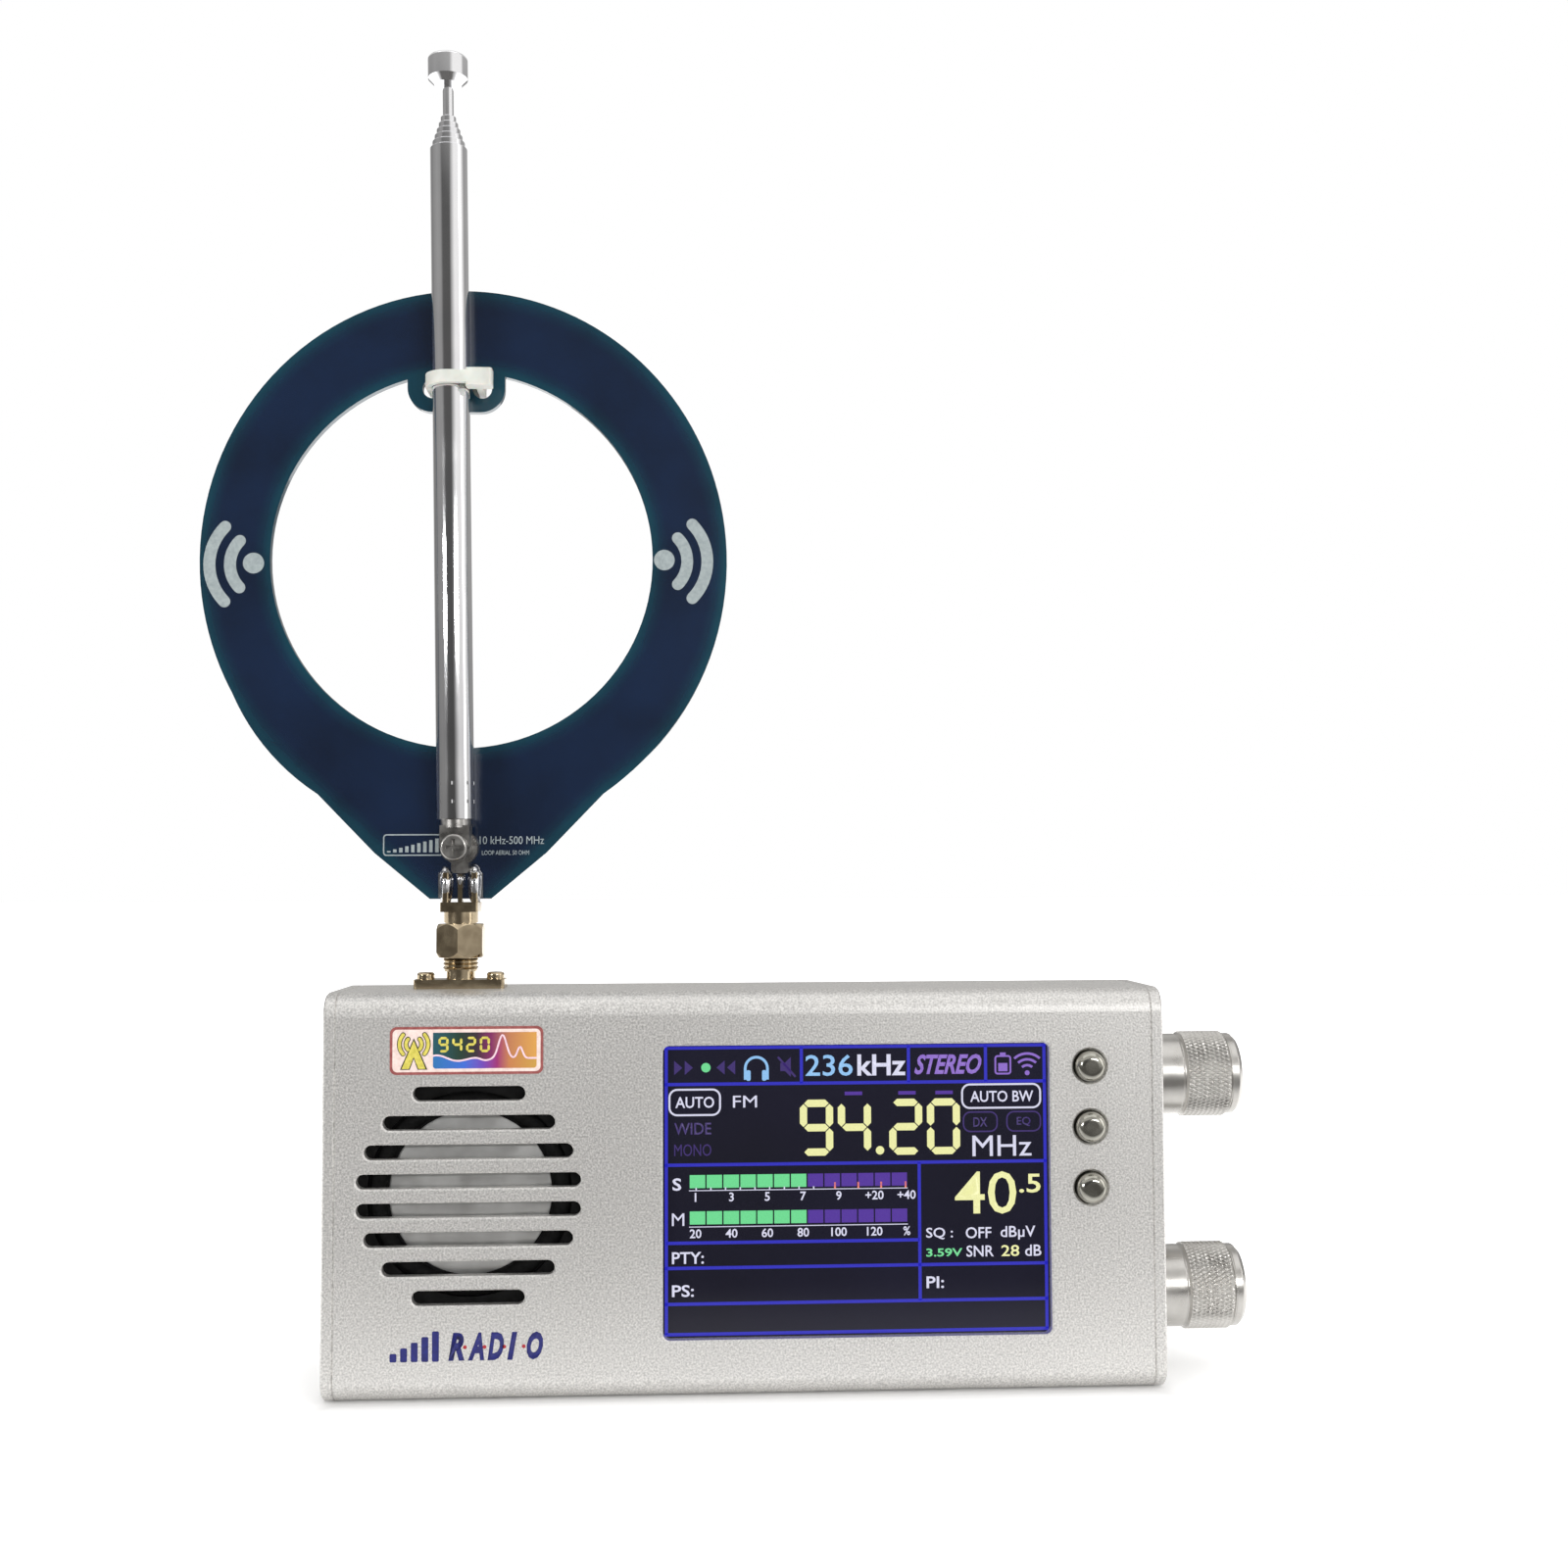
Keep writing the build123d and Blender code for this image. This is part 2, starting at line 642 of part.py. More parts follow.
with BuildPart() as aerial_socket:
    with BuildSketch(Plane.XY.offset(case_height)):
        with Locations((socket_x, 0)):
            RectangleRounded(flange_length, flange_width, 0.6)
            with Locations((-socket_screw_offset, 0), (socket_screw_offset, 0)):
                Circle(1.1, mode=Mode.SUBTRACT)
    extrude(amount=flange_thickness)
    z_cylinder(flange_top_z, neck_top_z, 2.5)
    z_cylinder(neck_top_z, socket_rim_z, thread_radius - 0.25)
    # thread crests as closed rings
    crest_pitch = 0.7
    for turn in range(8):
        crest_z = neck_top_z + 0.3 + turn * crest_pitch
        with BuildSketch(Plane(origin=(socket_x, 0, 0), x_dir=(1, 0, 0), z_dir=(0, -1, 0))):
            with BuildLine():
                Polyline(
                    (thread_radius - 0.3, crest_z),
                    (thread_radius, crest_z + 0.3),
                    (thread_radius - 0.3, crest_z + 0.6),
                    close=True,
                )
            make_face()
        revolve(axis=Axis((socket_x, 0, 0), (0, 0, 1)))
    z_cylinder(case_height, socket_rim_z, insulator_radius, Mode.SUBTRACT)
    z_cylinder(contact_socket_z + 0.4, socket_rim_z, 2.35, Mode.SUBTRACT)
write(aerial_socket, "aerial_socket")

with BuildPart() as socket_insulator:
    z_cylinder(contact_bottom_z + 2.5, contact_socket_z, insulator_radius)
    z_cylinder(contact_bottom_z + 2.5, contact_socket_z, contact_radius, Mode.SUBTRACT)
write(socket_insulator, "socket_insulator")

with BuildPart() as socket_contact:
    z_cylinder(contact_bottom_z, contact_socket_z, contact_radius)
    z_cylinder(contact_socket_z - 2.9, contact_socket_z, 0.52, Mode.SUBTRACT)
write(socket_contact, "socket_contact")

with BuildPart() as socket_screws:
    for x in (socket_x - socket_screw_offset, socket_x + socket_screw_offset):
        with BuildSketch(Plane.XY.offset(flange_top_z)):
            with Locations((x, 0)):
                Circle(1.55)
        extrude(amount=1.2)
        with BuildSketch(Plane.XY.offset(flange_top_z)):
            with Locations((x, 0)):
                Circle(socket_screw_hole_radius)
        extrude(amount=-flange_thickness - wall + 0.2)
    head_rims = socket_screws.edges().filter_by(GeomType.CIRCLE).group_by(Axis.Z)[-1]
    fillet(head_rims, 0.5)
    for x in (socket_x - socket_screw_offset, socket_x + socket_screw_offset):
        with BuildSketch(Plane.XY.offset(flange_top_z + 1.2)):
            with Locations((x, 0)):
                Rectangle(1.8, 0.35)
                Rectangle(0.35, 1.8)
        extrude(amount=-0.6, mode=Mode.SUBTRACT)
write(socket_screws, "socket_screws")

# ---------------------------------------------------------------- aerial plug and coupling nut
nut_bottom_z, nut_top_z = 73.5, 79.4
nut_lip_z = 78.5
plug_rim_z = 74.95
plug_body_bottom_z = 77.5
barrel_top_z = 81.5
plug_flange_top_z = 83.2
leg_top_z = 88.4
leg_offset = 2.54

with BuildPart() as coupling_nut:
    with BuildSketch(Plane.XY.offset(nut_bottom_z)):
        with Locations((socket_x, 0)):
            RegularPolygon(4.0, 6, major_radius=False, rotation=30)
    extrude(amount=nut_top_z - nut_bottom_z)
    # both ends are turned to a cone that rounds off the corners
    with BuildSketch(Plane.XY.offset(nut_bottom_z)):
        with Locations((socket_x, 0)):
            Circle(3.95)
    extrude(amount=(nut_top_z - nut_bottom_z) / 2, taper=-35, mode=Mode.INTERSECT)
upper_half = mirror(
    coupling_nut.part, about=Plane.XY.offset((nut_bottom_z + nut_top_z) / 2)
)
with BuildPart() as coupling_nut:
    add(upper_half)
    add(mirror(upper_half, about=Plane.XY.offset((nut_bottom_z + nut_top_z) / 2)))
    z_cylinder(nut_bottom_z, nut_lip_z, thread_radius + running_gap, Mode.SUBTRACT)
    z_cylinder(nut_lip_z, nut_top_z, 2.75 + running_gap, Mode.SUBTRACT)
write(coupling_nut, "coupling_nut")

with BuildPart() as aerial_plug:
    z_cylinder(plug_rim_z, plug_body_bottom_z, 2.25)
    z_cylinder(plug_body_bottom_z, nut_lip_z - clear_gap, 3.0)
    z_cylinder(nut_lip_z - clear_gap, nut_top_z + 0.2, 2.75)
    z_cylinder(nut_top_z + 0.2, barrel_top_z, 3.0)
    with BuildSketch(Plane.XY.offset(barrel_top_z)):
        with Locations((socket_x, 0)):
            RectangleRounded(6.6, 6.6, 0.4)
    extrude(amount=plug_flange_top_z - barrel_top_z)
    # four solder legs that straddle the board
    leg_points = [(x, y) for x in (-leg_offset, leg_offset) for y in (-1.35, 1.35)]
    with BuildSketch(Plane.XY.offset(plug_flange_top_z)):
        with Locations((socket_x, 0)):
            with Locations(*leg_points):
                RectangleRounded(1.1, 1.1, 0.3)
    extrude(amount=leg_top_z - plug_flange_top_z)
    z_cylinder(plug_rim_z, plug_flange_top_z, 0.65, Mode.SUBTRACT)
    z_cylinder(plug_rim_z, plug_rim_z + 1.2, 1.9, Mode.SUBTRACT)
write(aerial_plug, "aerial_plug")

with BuildPart() as plug_pin:
    z_cylinder(plug_rim_z - 2.6, plug_rim_z + 1.2, 0.45)
    z_cylinder(plug_rim_z + 1.2, plug_flange_top_z, 0.65)
    # the tail steps forward to lie on the board's front
    with BuildSketch(Plane.XY.offset(plug_flange_top_z)):
        with Locations((socket_x, -board_thickness / 2 - 0.4)):
            Rectangle(0.8, 0.8)
    extrude(amount=4.9)
    with BuildSketch(Plane.XY.offset(plug_flange_top_z)):
        with Locations((socket_x, -0.4)):
            Rectangle(0.8, 0.9)
    extrude(amount=0.35)
write(plug_pin, "plug_pin")

# ---------------------------------------------------------------- loop board
tip_half_width, tip_z = 5.4, plug_flange_top_z + 0.6
bend_half_width, bend_z = 15.1, 91.9
corner_half_width, corner_z = 25.1, 102.3
bulge_half_width, bulge_z = 33.9, 110.1
join_z = 120.2
join_half_width = ring_half_width * (1 - ((ring_z - join_z) / ring_half_height) ** 2) ** 0.5
ring_x = socket_x + ring_offset
tab_x, tab_z = socket_x - 1.25, 175.1
tab_corner_radius = 4.4
tab_half_width = 8.65
tie_hole_radius = 1.7
tie_hole_left_x, tie_hole_right_x = -55.7, -46.8
tie_z = 174.9

with BuildPart() as loop_board:
    with BuildSketch(front_plane(-board_thickness / 2)):
        with Locations((ring_x, ring_z)):
            Ellipse(ring_half_width, ring_half_height)
        # the sides bulge a little below the ring, then run down to the plug
        with BuildLine():
            for side in (-1, 1):
                ThreePointArc(
                    (ring_x + side * join_half_width, join_z),
                    (socket_x + side * bulge_half_width, bulge_z),
                    (socket_x + side * corner_half_width, corner_z),
                )
                Polyline(
                    (socket_x + side * corner_half_width, corner_z),
                    (socket_x + side * bend_half_width, bend_z),
                    (socket_x + side * tip_half_width, tip_z),
                )
            Line((socket_x - tip_half_width, tip_z), (socket_x + tip_half_width, tip_z))
            Line((ring_x - join_half_width, join_z), (ring_x + join_half_width, join_z))
        make_face()
        with Locations((socket_x, opening_z)):
            Circle(opening_radius, mode=Mode.SUBTRACT)
        # round-cornered tab at the top of the opening, with the two tie holes
        tab_height = 2 * tab_corner_radius
        with Locations((tab_x, tab_z)):
            RectangleRounded(2 * tab_half_width, tab_height, tab_corner_radius - 0.05)
            with Locations((0, tab_height / 4)):
                Rectangle(2 * tab_half_width, tab_height / 2)
        for hole_x in (tie_hole_left_x, tie_hole_right_x):
            with Locations((hole_x, tie_z)):
                Circle(tie_hole_radius, mode=Mode.SUBTRACT)
    extrude(amount=-board_thickness)
write(loop_board, "loop_board")

# ---------------------------------------------------------------- whip, on an axis that leans a little
lug_back_y = -board_thickness / 2
lug_front_y = -2.9
tang_back_y = -3.0
tang_front_y = -7.2
pivot_screw_radius = 1.2
screw_head_radius, screw_head_height = 2.3, 1.3
drive_length, drive_width, drive_depth = 2.8, 0.55, 0.7
lug_radius = 3.1
whip_base_offset = 4.9
whip_plane = Plane(origin=(socket_x - 0.3, whip_y, pivot_z), x_dir=(1, 0, 0), z_dir=(0, 0, 1))
whip_plane = whip_plane.rotated((0, -whip_lean, 0))
pivot_x = socket_x - 0.3


def whip_cylinder(start, end, radius, mode=Mode.ADD):
    """Cylinder on the whip's axis, from start to end above the pivot."""
    with BuildSketch(whip_plane.offset(start)) as disc:
        Circle(radius)
    extrude(disc.sketch, amount=end - start, mode=mode)


with BuildPart() as whip_lug:
    with BuildSketch(front_plane(lug_back_y)):
        with Locations((pivot_x + 0.4, pivot_z)):
            Circle(lug_radius)
        with Locations((pivot_x + 0.4, pivot_z - 3.0)):
            RectangleRounded(3.0, 3.0, 0.6)
        with Locations((pivot_x, pivot_z)):
            Circle(pivot_screw_radius, mode=Mode.SUBTRACT)
    extrude(amount=lug_back_y - lug_front_y)
write(whip_lug, "whip_lug")

with BuildPart() as whip_knuckle:
    with BuildSketch(front_plane(tang_back_y)):
        with Locations((pivot_x, pivot_z)):
            Circle(2.55)
            with Locations((0, 1.9)):
                Rectangle(5.1, 3.8)
            Circle(pivot_screw_radius, mode=Mode.SUBTRACT)
    extrude(amount=tang_back_y - tang_front_y)
    whip_cylinder(3.4, whip_base_offset, 2.6)
    whip_cylinder(whip_base_offset, whip_base_offset + 7.0, tube_outer_diameters[0] / 2 - tube_wall)
write(whip_knuckle, "whip_knuckle")

with BuildPart() as pivot_screw:
    with BuildSketch(front_plane(lug_back_y)):
        with Locations((pivot_x, pivot_z)):
            Circle(pivot_screw_radius)
    extrude(amount=lug_back_y - tang_front_y)
    with BuildSketch(front_plane(tang_front_y)):
        with Locations((pivot_x, pivot_z)):
            Circle(screw_head_radius)
    extrude(amount=screw_head_height)
    fillet(pivot_screw.faces().sort_by(Axis.Y)[0].edges(), 0.45)
    with BuildSketch(front_plane(tang_front_y - screw_head_height)):
        with Locations((pivot_x, pivot_z)):
            Rectangle(drive_length, drive_width)
            Rectangle(drive_width, drive_length)
    extrude(amount=-drive_depth, mode=Mode.SUBTRACT)
write(pivot_screw, "pivot_screw")

tube_top_offset = whip_base_offset + tube_length
crimp_length = 1.0
foot_length = 6.0
sleeve_count = len(tube_outer_diameters)


def crimp_row(distance, radius):
    """Ring of small dimples pressed into the tube at a distance above the pivot."""
    with BuildSketch(whip_plane.offset(distance)) as dimples:
        with PolarLocations(radius + 0.12, 8):
            Circle(0.3)
    extrude(dimples.sketch, amount=0.6, mode=Mode.SUBTRACT)


for index, outer_diameter in enumerate(tube_outer_diameters):
    outer_radius = outer_diameter / 2
    bore_radius = outer_radius - tube_wall
    last = index == sleeve_count - 1
    inner_radius = (rod_diameter if last else tube_outer_diameters[index + 1]) / 2
    top = tube_top_offset + index * tip_step
    bottom = whip_base_offset + (0.0 if index == 0 else 7.5 + 1.6 * index)
    with BuildPart() as sleeve:
        whip_cylinder(bottom, top, outer_radius)
        if index > 0:
            foot_radius = tube_outer_diameters[index - 1] / 2 - tube_wall - running_gap
            whip_cylinder(bottom, bottom + foot_length, foot_radius)
        tip_edges = sleeve.edges().filter_by(GeomType.CIRCLE).sort_by(Axis.Z)[-1:]
        chamfer(tip_edges, 0.18)
        whip_cylinder(bottom, top - crimp_length, bore_radius, Mode.SUBTRACT)
        whip_cylinder(top - crimp_length, top, inner_radius + running_gap, Mode.SUBTRACT)
        if index == 0:
            crimp_row(7.6, outer_radius)
            crimp_row(10.8, outer_radius)
    write(sleeve, f"whip_section_{index + 1}")

rod_top = tube_top_offset + (sleeve_count - 1) * tip_step + 5.75
rod_bottom = whip_base_offset + 7.5 + 1.6 * sleeve_count
with BuildPart() as whip_rod:
    whip_cylinder(rod_bottom, rod_top + 3.0, rod_diameter / 2)
    foot_radius = tube_outer_diameters[-1] / 2 - tube_wall - running_gap
    whip_cylinder(rod_bottom, rod_bottom + foot_length, foot_radius)
write(whip_rod, "whip_rod")

with BuildPart() as whip_cap:
    whip_cylinder(rod_top, rod_top + 5.0, 3.5)
    cap_faces = whip_cap.faces().sort_by(Axis.Z)
    chamfer(cap_faces[0].edges(), 1.1)
    fillet(cap_faces[-1].edges(), 0.5)
    whip_cylinder(rod_top, rod_top + 3.0, rod_diameter / 2, Mode.SUBTRACT)
write(whip_cap, "whip_cap")

# ---------------------------------------------------------------- cable tie round whip and tab
tie_width = 2.2
tie_strap = 1.1
tie_head_length, tie_head_depth, tie_head_height = 4.6, 3.2, 3.0
tie_head_x = -46.5
tube_x_at_tie = pivot_x - (tie_z - pivot_z) * tan(radians(whip_lean))
tie_reach = tube_outer_diameters[0] / 2 + 0.1 + tie_strap / 2
tie_front_y = whip_y - tie_reach
tie_back_y = board_thickness / 2 + 0.05 + tie_strap / 2
tie_head_y = tie_front_y - tie_strap / 2 + tie_head_depth / 2

with BuildPart() as cable_tie:
    # the strap goes over the tube, through the left hole, behind the board and back to the head
    with BuildSketch(Plane.XY.offset(tie_z - tie_width / 2)):
        with BuildLine():
            FilletPolyline(
                (tie_head_x, tie_front_y),
                (tube_x_at_tie - tie_reach, tie_front_y),
                (tube_x_at_tie - tie_reach, tie_back_y),
                (tie_hole_right_x, tie_back_y),
                (tie_hole_right_x, tie_head_y),
                radius=[tie_reach - 0.01, 0.7, 0.7],
            )
        trace(line_width=tie_strap)
    extrude(amount=tie_width)
    with BuildSketch(Plane.XY.offset(tie_z - tie_head_height / 2)):
        with Locations((tie_head_x, tie_head_y)):
            RectangleRounded(tie_head_length, tie_head_depth, 0.6)
    extrude(amount=tie_head_height)
write(cable_tie, "cable_tie")

# ---------------------------------------------------------------- leads inside the case


def lead(route, radius):
    """Round lead along straight runs joined by tangent arcs as large as the runs allow."""
    runs = [Vector(end) - Vector(start) for start, end in zip(route, route[1:])]
    bends = []
    for before, after in zip(runs, runs[1:]):
        half_turn = radians(before.get_angle(after) / 2)
        bends.append(0.45 * min(before.length, after.length) / tan(half_turn))
    with BuildPart() as laid:
        with BuildLine() as path:
            FilletPolyline(*route, radius=bends)
        with BuildSketch(Plane(origin=route[0], z_dir=runs[0])):
            Circle(radius)
        sweep()
    expected = path.wires()[0].length * pi * radius**2
    print("lead bends", [round(bend, 1) for bend in bends], laid.part.volume / expected)
    return laid


coax_route = [
    (socket_x, 0, contact_bottom_z),
    (socket_x, 0, 55.5),
    (-42.0, -0.9, 52.0),
    (-30.0, -0.6, 53.0),
    (-19.1, -0.6, 52.6),
]
write(lead(coax_route, 0.9), "coax_pigtail")

with BuildPart() as speaker_leads:
    for shift in (0, 4.4):
        speaker_route = [
            (-49.1 + shift, inside_front_y + 6.4, 21.9),
            (-49.1 + shift, -3.6, 21.9),
            (-41.0 + shift, -2.4, 16.0),
            (-34.4 + shift, -1.2, 13.0),
            (-34.4 + shift, pcb_front_y, 13.0),
        ]
        add(lead(speaker_route, 0.5).part)
write(speaker_leads, "speaker_leads")

with BuildPart() as battery_leads:
    for drop in (0, 3.0):
        battery_route = [
            (-13.0, 5.6, 55.0 - drop),
            (-17.0, 5.6, 55.0 - drop),
            (-24.0, 4.9, 51.0 - drop),
            (-26.5, 4.5, 48.0 - drop),
            (-26.5, pcb_back_y, 48.0 - drop),
        ]
        add(lead(battery_route, 0.6).part)
write(battery_leads, "battery_leads")
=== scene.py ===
from math import cos, exp, pi, radians, sin, sqrt

import bmesh
import bpy
from mathutils import Matrix, Vector


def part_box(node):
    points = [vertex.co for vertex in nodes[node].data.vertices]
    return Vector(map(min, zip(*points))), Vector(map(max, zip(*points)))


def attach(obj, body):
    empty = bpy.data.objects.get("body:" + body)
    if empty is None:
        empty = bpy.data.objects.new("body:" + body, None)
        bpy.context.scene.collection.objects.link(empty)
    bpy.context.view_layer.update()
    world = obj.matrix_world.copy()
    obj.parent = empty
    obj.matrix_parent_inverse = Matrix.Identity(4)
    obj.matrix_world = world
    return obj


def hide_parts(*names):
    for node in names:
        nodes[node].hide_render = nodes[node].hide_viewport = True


# Looks for a handheld multiband radio: metres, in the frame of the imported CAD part.
# +X towards the knobs, -Y out of the display, +Z up.

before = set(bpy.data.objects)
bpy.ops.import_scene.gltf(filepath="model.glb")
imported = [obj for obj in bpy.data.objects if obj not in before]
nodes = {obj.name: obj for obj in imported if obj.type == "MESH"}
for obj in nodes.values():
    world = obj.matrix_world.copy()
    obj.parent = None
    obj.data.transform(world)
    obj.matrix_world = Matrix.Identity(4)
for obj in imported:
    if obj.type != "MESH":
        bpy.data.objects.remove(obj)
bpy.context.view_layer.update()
scene = bpy.context.scene
MM = 0.001


# ---------------------------------------------------------------- places read from the frame
glass_low, glass_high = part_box("touch_glass")
board_low, board_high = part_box("loop_board")
shell_low, shell_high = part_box("extruded_shell")
glass_margin_x, glass_margin_z = 1.8 * MM, 1.7 * MM
window_left = glass_low.x + glass_margin_x
window_top = glass_high.z - glass_margin_z
screen_y = glass_low.y
front_y = shell_low.y
socket_low, socket_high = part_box("aerial_socket")
rim_radius = (board_high.x - board_low.x) / 2
rim_height = 48.7 * MM
opening_below_top = 48.4 * MM
rim_x = (board_high.x + board_low.x) / 2
rim_z = board_high.z - rim_height
opening_x = (socket_low.x + socket_high.x) / 2
opening_z = board_high.z - opening_below_top
board_front_y = board_low.y
OPENING_RADIUS = 33.8 * MM


# ---------------------------------------------------------------- camera, light and floor
def add_camera():
    """Camera a little above the case and left of its middle, looking slightly right and up."""
    position = Vector((-8.9, -314.0, 87.7)) * MM
    yaw, pitch, roll = radians(2.907), radians(2.971), radians(-0.240)
    forward = Vector((sin(yaw) * cos(pitch), cos(yaw) * cos(pitch), sin(pitch)))
    level_right = Vector((cos(yaw), -sin(yaw), 0))
    level_up = level_right.cross(forward)
    right = level_right * cos(roll) + level_up * sin(roll)
    up = level_up * cos(roll) - level_right * sin(roll)
    data = bpy.data.cameras.new("camera")
    data.sensor_width = 36.0
    data.lens = 40.36
    data.clip_start = 0.01
    camera = bpy.data.objects.new("camera", data)
    camera.matrix_world = Matrix(
        (
            (right.x, up.x, -forward.x, position.x),
            (right.y, up.y, -forward.y, position.y),
            (right.z, up.z, -forward.z, position.z),
            (0, 0, 0, 1),
        )
    )
    scene.collection.objects.link(camera)
    scene.camera = camera


def add_area_light(name, place, target, size, power):
    data = bpy.data.lights.new(name, "AREA")
    data.shape = "RECTANGLE"
    data.size, data.size_y = size
    data.energy = power
    lamp = bpy.data.objects.new(name, data)
    lamp.location = place
    aim = Vector(target) - Vector(place)
    lamp.rotation_euler = aim.to_track_quat("-Z", "Y").to_euler()
    scene.collection.objects.link(lamp)


def maths(tree, operation, *values):
    """One Math node; each value is a number or an output."""
    node = tree.nodes.new("ShaderNodeMath")
    node.operation = operation
    for socket, value in zip(node.inputs, values):
        if isinstance(value, (int, float)):
            socket.default_value = value
        else:
            tree.links.new(value, socket)
    return node.outputs[0]


def length_of(tree, x, y):
    """Length of the vector (x, y)."""
    squared = maths(tree, "ADD", maths(tree, "MULTIPLY", x, x), maths(tree, "MULTIPLY", y, y))
    return maths(tree, "SQRT", squared)


def colour_ramp(tree, factor, stops):
    """Ramp through (position, colour) pairs."""
    ramp = tree.nodes.new("ShaderNodeValToRGB")
    elements = ramp.color_ramp.elements
    while len(elements) < len(stops):
        elements.new(0.5)
    for element, (place, colour) in zip(elements, stops):
        element.position = place
        element.color = (*colour, 1)
    tree.links.new(factor, ramp.inputs["Fac"])
    return ramp.outputs["Color"]


def grey_ramp(tree, factor, stops):
    """Ramp of greys from (position, grey) pairs."""
    return colour_ramp(tree, factor, [(place, (grey, grey, grey)) for place, grey in stops])


def axes_of(tree, coordinate):
    """The X, Y and Z outputs of a texture coordinate."""
    coordinates = tree.nodes.new("ShaderNodeTexCoord")
    split = tree.nodes.new("ShaderNodeSeparateXYZ")
    tree.links.new(coordinates.outputs[coordinate], split.inputs[0])
    return split.outputs["X"], split.outputs["Y"], split.outputs["Z"]


# the room's brightness round the object, as (share of the turn, grey); see add_world
STRIPS = (
    (0.0, 0.42),
    (0.10, 0.40),
    (0.15, 0.20),
    (0.20, 0.28),
    (0.30, 0.34),
    (0.36, 0.30),
    (0.40, 0.10),
    (0.52, 0.10),
    (0.56, 0.55),
    (0.60, 0.95),
    (0.75, 0.95),
    (0.80, 0.35),
    (1.0, 0.42),
)
# HEIGHTS dims the room from floor to ceiling, and LIFT is the least that the strips fall to
# there, both as (share of the height, grey)
HEIGHTS = ((0.0, 0.9), (0.35, 0.5), (0.50, 0.60), (0.60, 0.90), (0.72, 1.0), (0.86, 0.70), (1.0, 0.40))
LIFT = ((0.0, 0.0), (0.67, 0.0), (0.76, 0.80), (0.88, 0.80), (1.0, 0.5))
ROOM_STRENGTH = 1.15


def add_world():
    """White to the camera; to everything else a room with upright dark and bright strips."""
    world = bpy.data.worlds.new("studio")
    scene.world = world
    world.use_nodes = True
    tree = world.node_tree
    tree.nodes.clear()
    output = tree.nodes.new("ShaderNodeOutputWorld")
    mix = tree.nodes.new("ShaderNodeMixShader")
    path = tree.nodes.new("ShaderNodeLightPath")
    seen = tree.nodes.new("ShaderNodeBackground")
    seen.inputs["Color"].default_value = (1, 1, 1, 1)
    room = tree.nodes.new("ShaderNodeBackground")
    x, y, z = axes_of(tree, "Generated")
    # 0.5 is straight in front of the display, 0 and 1 are behind the case
    turn = maths(tree, "ARCTAN2", x, maths(tree, "MULTIPLY", y, -1.0))
    share = maths(tree, "ADD", maths(tree, "DIVIDE", turn, 2 * pi), 0.5)
    strips = grey_ramp(tree, share, STRIPS)
    height = maths(tree, "ADD", maths(tree, "MULTIPLY", z, 0.5), 0.5)
    softened = maths(tree, "MAXIMUM", strips, grey_ramp(tree, height, LIFT))
    level = maths(tree, "MULTIPLY", softened, grey_ramp(tree, height, HEIGHTS))
    tree.links.new(maths(tree, "MULTIPLY", level, ROOM_STRENGTH), room.inputs["Strength"])
    room.inputs["Color"].default_value = (1.0, 0.99, 0.975, 1)
    tree.links.new(path.outputs["Is Camera Ray"], mix.inputs["Fac"])
    tree.links.new(room.outputs[0], mix.inputs[1])
    tree.links.new(seen.outputs[0], mix.inputs[2])
    tree.links.new(mix.outputs[0], output.inputs["Surface"])


def add_floor():
    """White floor that stays white to the horizon, with a painted contact shadow where its glow fades out
    round the case; reflections see a darker stretch in front.
    """
    mesh = bpy.data.meshes.new("floor")
    reach = 6.0
    corners = [(-reach, -reach, 0), (reach, -reach, 0), (reach, reach, 0), (-reach, reach, 0)]
    mesh.from_pydata(corners, [], [(0, 1, 2, 3)])
    floor = bpy.data.objects.new("floor", mesh)
    floor.location.z = -0.02 * MM
    scene.collection.objects.link(floor)
    paint, shader, tree = new_material("floor_paint")
    shader.inputs["Base Color"].default_value = (0.93, 0.93, 0.93, 1)
    shader.inputs["Roughness"].default_value = 0.7
    shader.inputs["Specular IOR Level"].default_value = 0.2
    shader.inputs["Emission Color"].default_value = (1, 1, 1, 1)
    x, y, _ = axes_of(tree, "Object")
    # the floor's glow fades to nothing at the case's footprint, which paints a contact shadow on the floor
    # round the case
    past_end = maths(tree, "SUBTRACT", maths(tree, "ABSOLUTE", x), shell_high.x)
    past_front = maths(tree, "SUBTRACT", maths(tree, "ABSOLUTE", y), shell_high.y)
    distance = maths(tree, "MAXIMUM", past_end, past_front)
    glow_with_painted_contact_shadow = grey_ramp(tree, distance, ((0.0, 0.0), (0.004, 0.30), (0.03, 0.62), (0.10, 1.0)))
    tree.links.new(glow_with_painted_contact_shadow, shader.inputs["Emission Strength"])
    dark = tree.nodes.new("ShaderNodeBsdfDiffuse")
    dark.inputs["Color"].default_value = (0.06, 0.055, 0.05, 1)
    mix = tree.nodes.new("ShaderNodeMixShader")
    path = tree.nodes.new("ShaderNodeLightPath")
    in_front = grey_ramp(tree, maths(tree, "MULTIPLY", y, -1.0), ((0.02, 0.0), (0.09, 0.94)))
    on_the_left = grey_ramp(tree, maths(tree, "ADD", x, 0.5), ((0.65, 1.0), (0.95, 0.78)))
    stretch = maths(tree, "MULTIPLY", in_front, on_the_left)
    hidden = maths(tree, "MULTIPLY", stretch, path.outputs["Is Glossy Ray"])
    tree.links.new(hidden, mix.inputs["Fac"])
    tree.links.new(shader.outputs[0], mix.inputs[1])
    tree.links.new(dark.outputs[0], mix.inputs[2])
    tree.links.new(mix.outputs[0], tree.nodes["Material Output"].inputs["Surface"])
    mesh.materials.append(paint)


# ---------------------------------------------------------------- material helpers
def new_material(name):
    material = bpy.data.materials.new(name)
    material.use_nodes = True
    tree = material.node_tree
    return material, tree.nodes["Principled BSDF"], tree


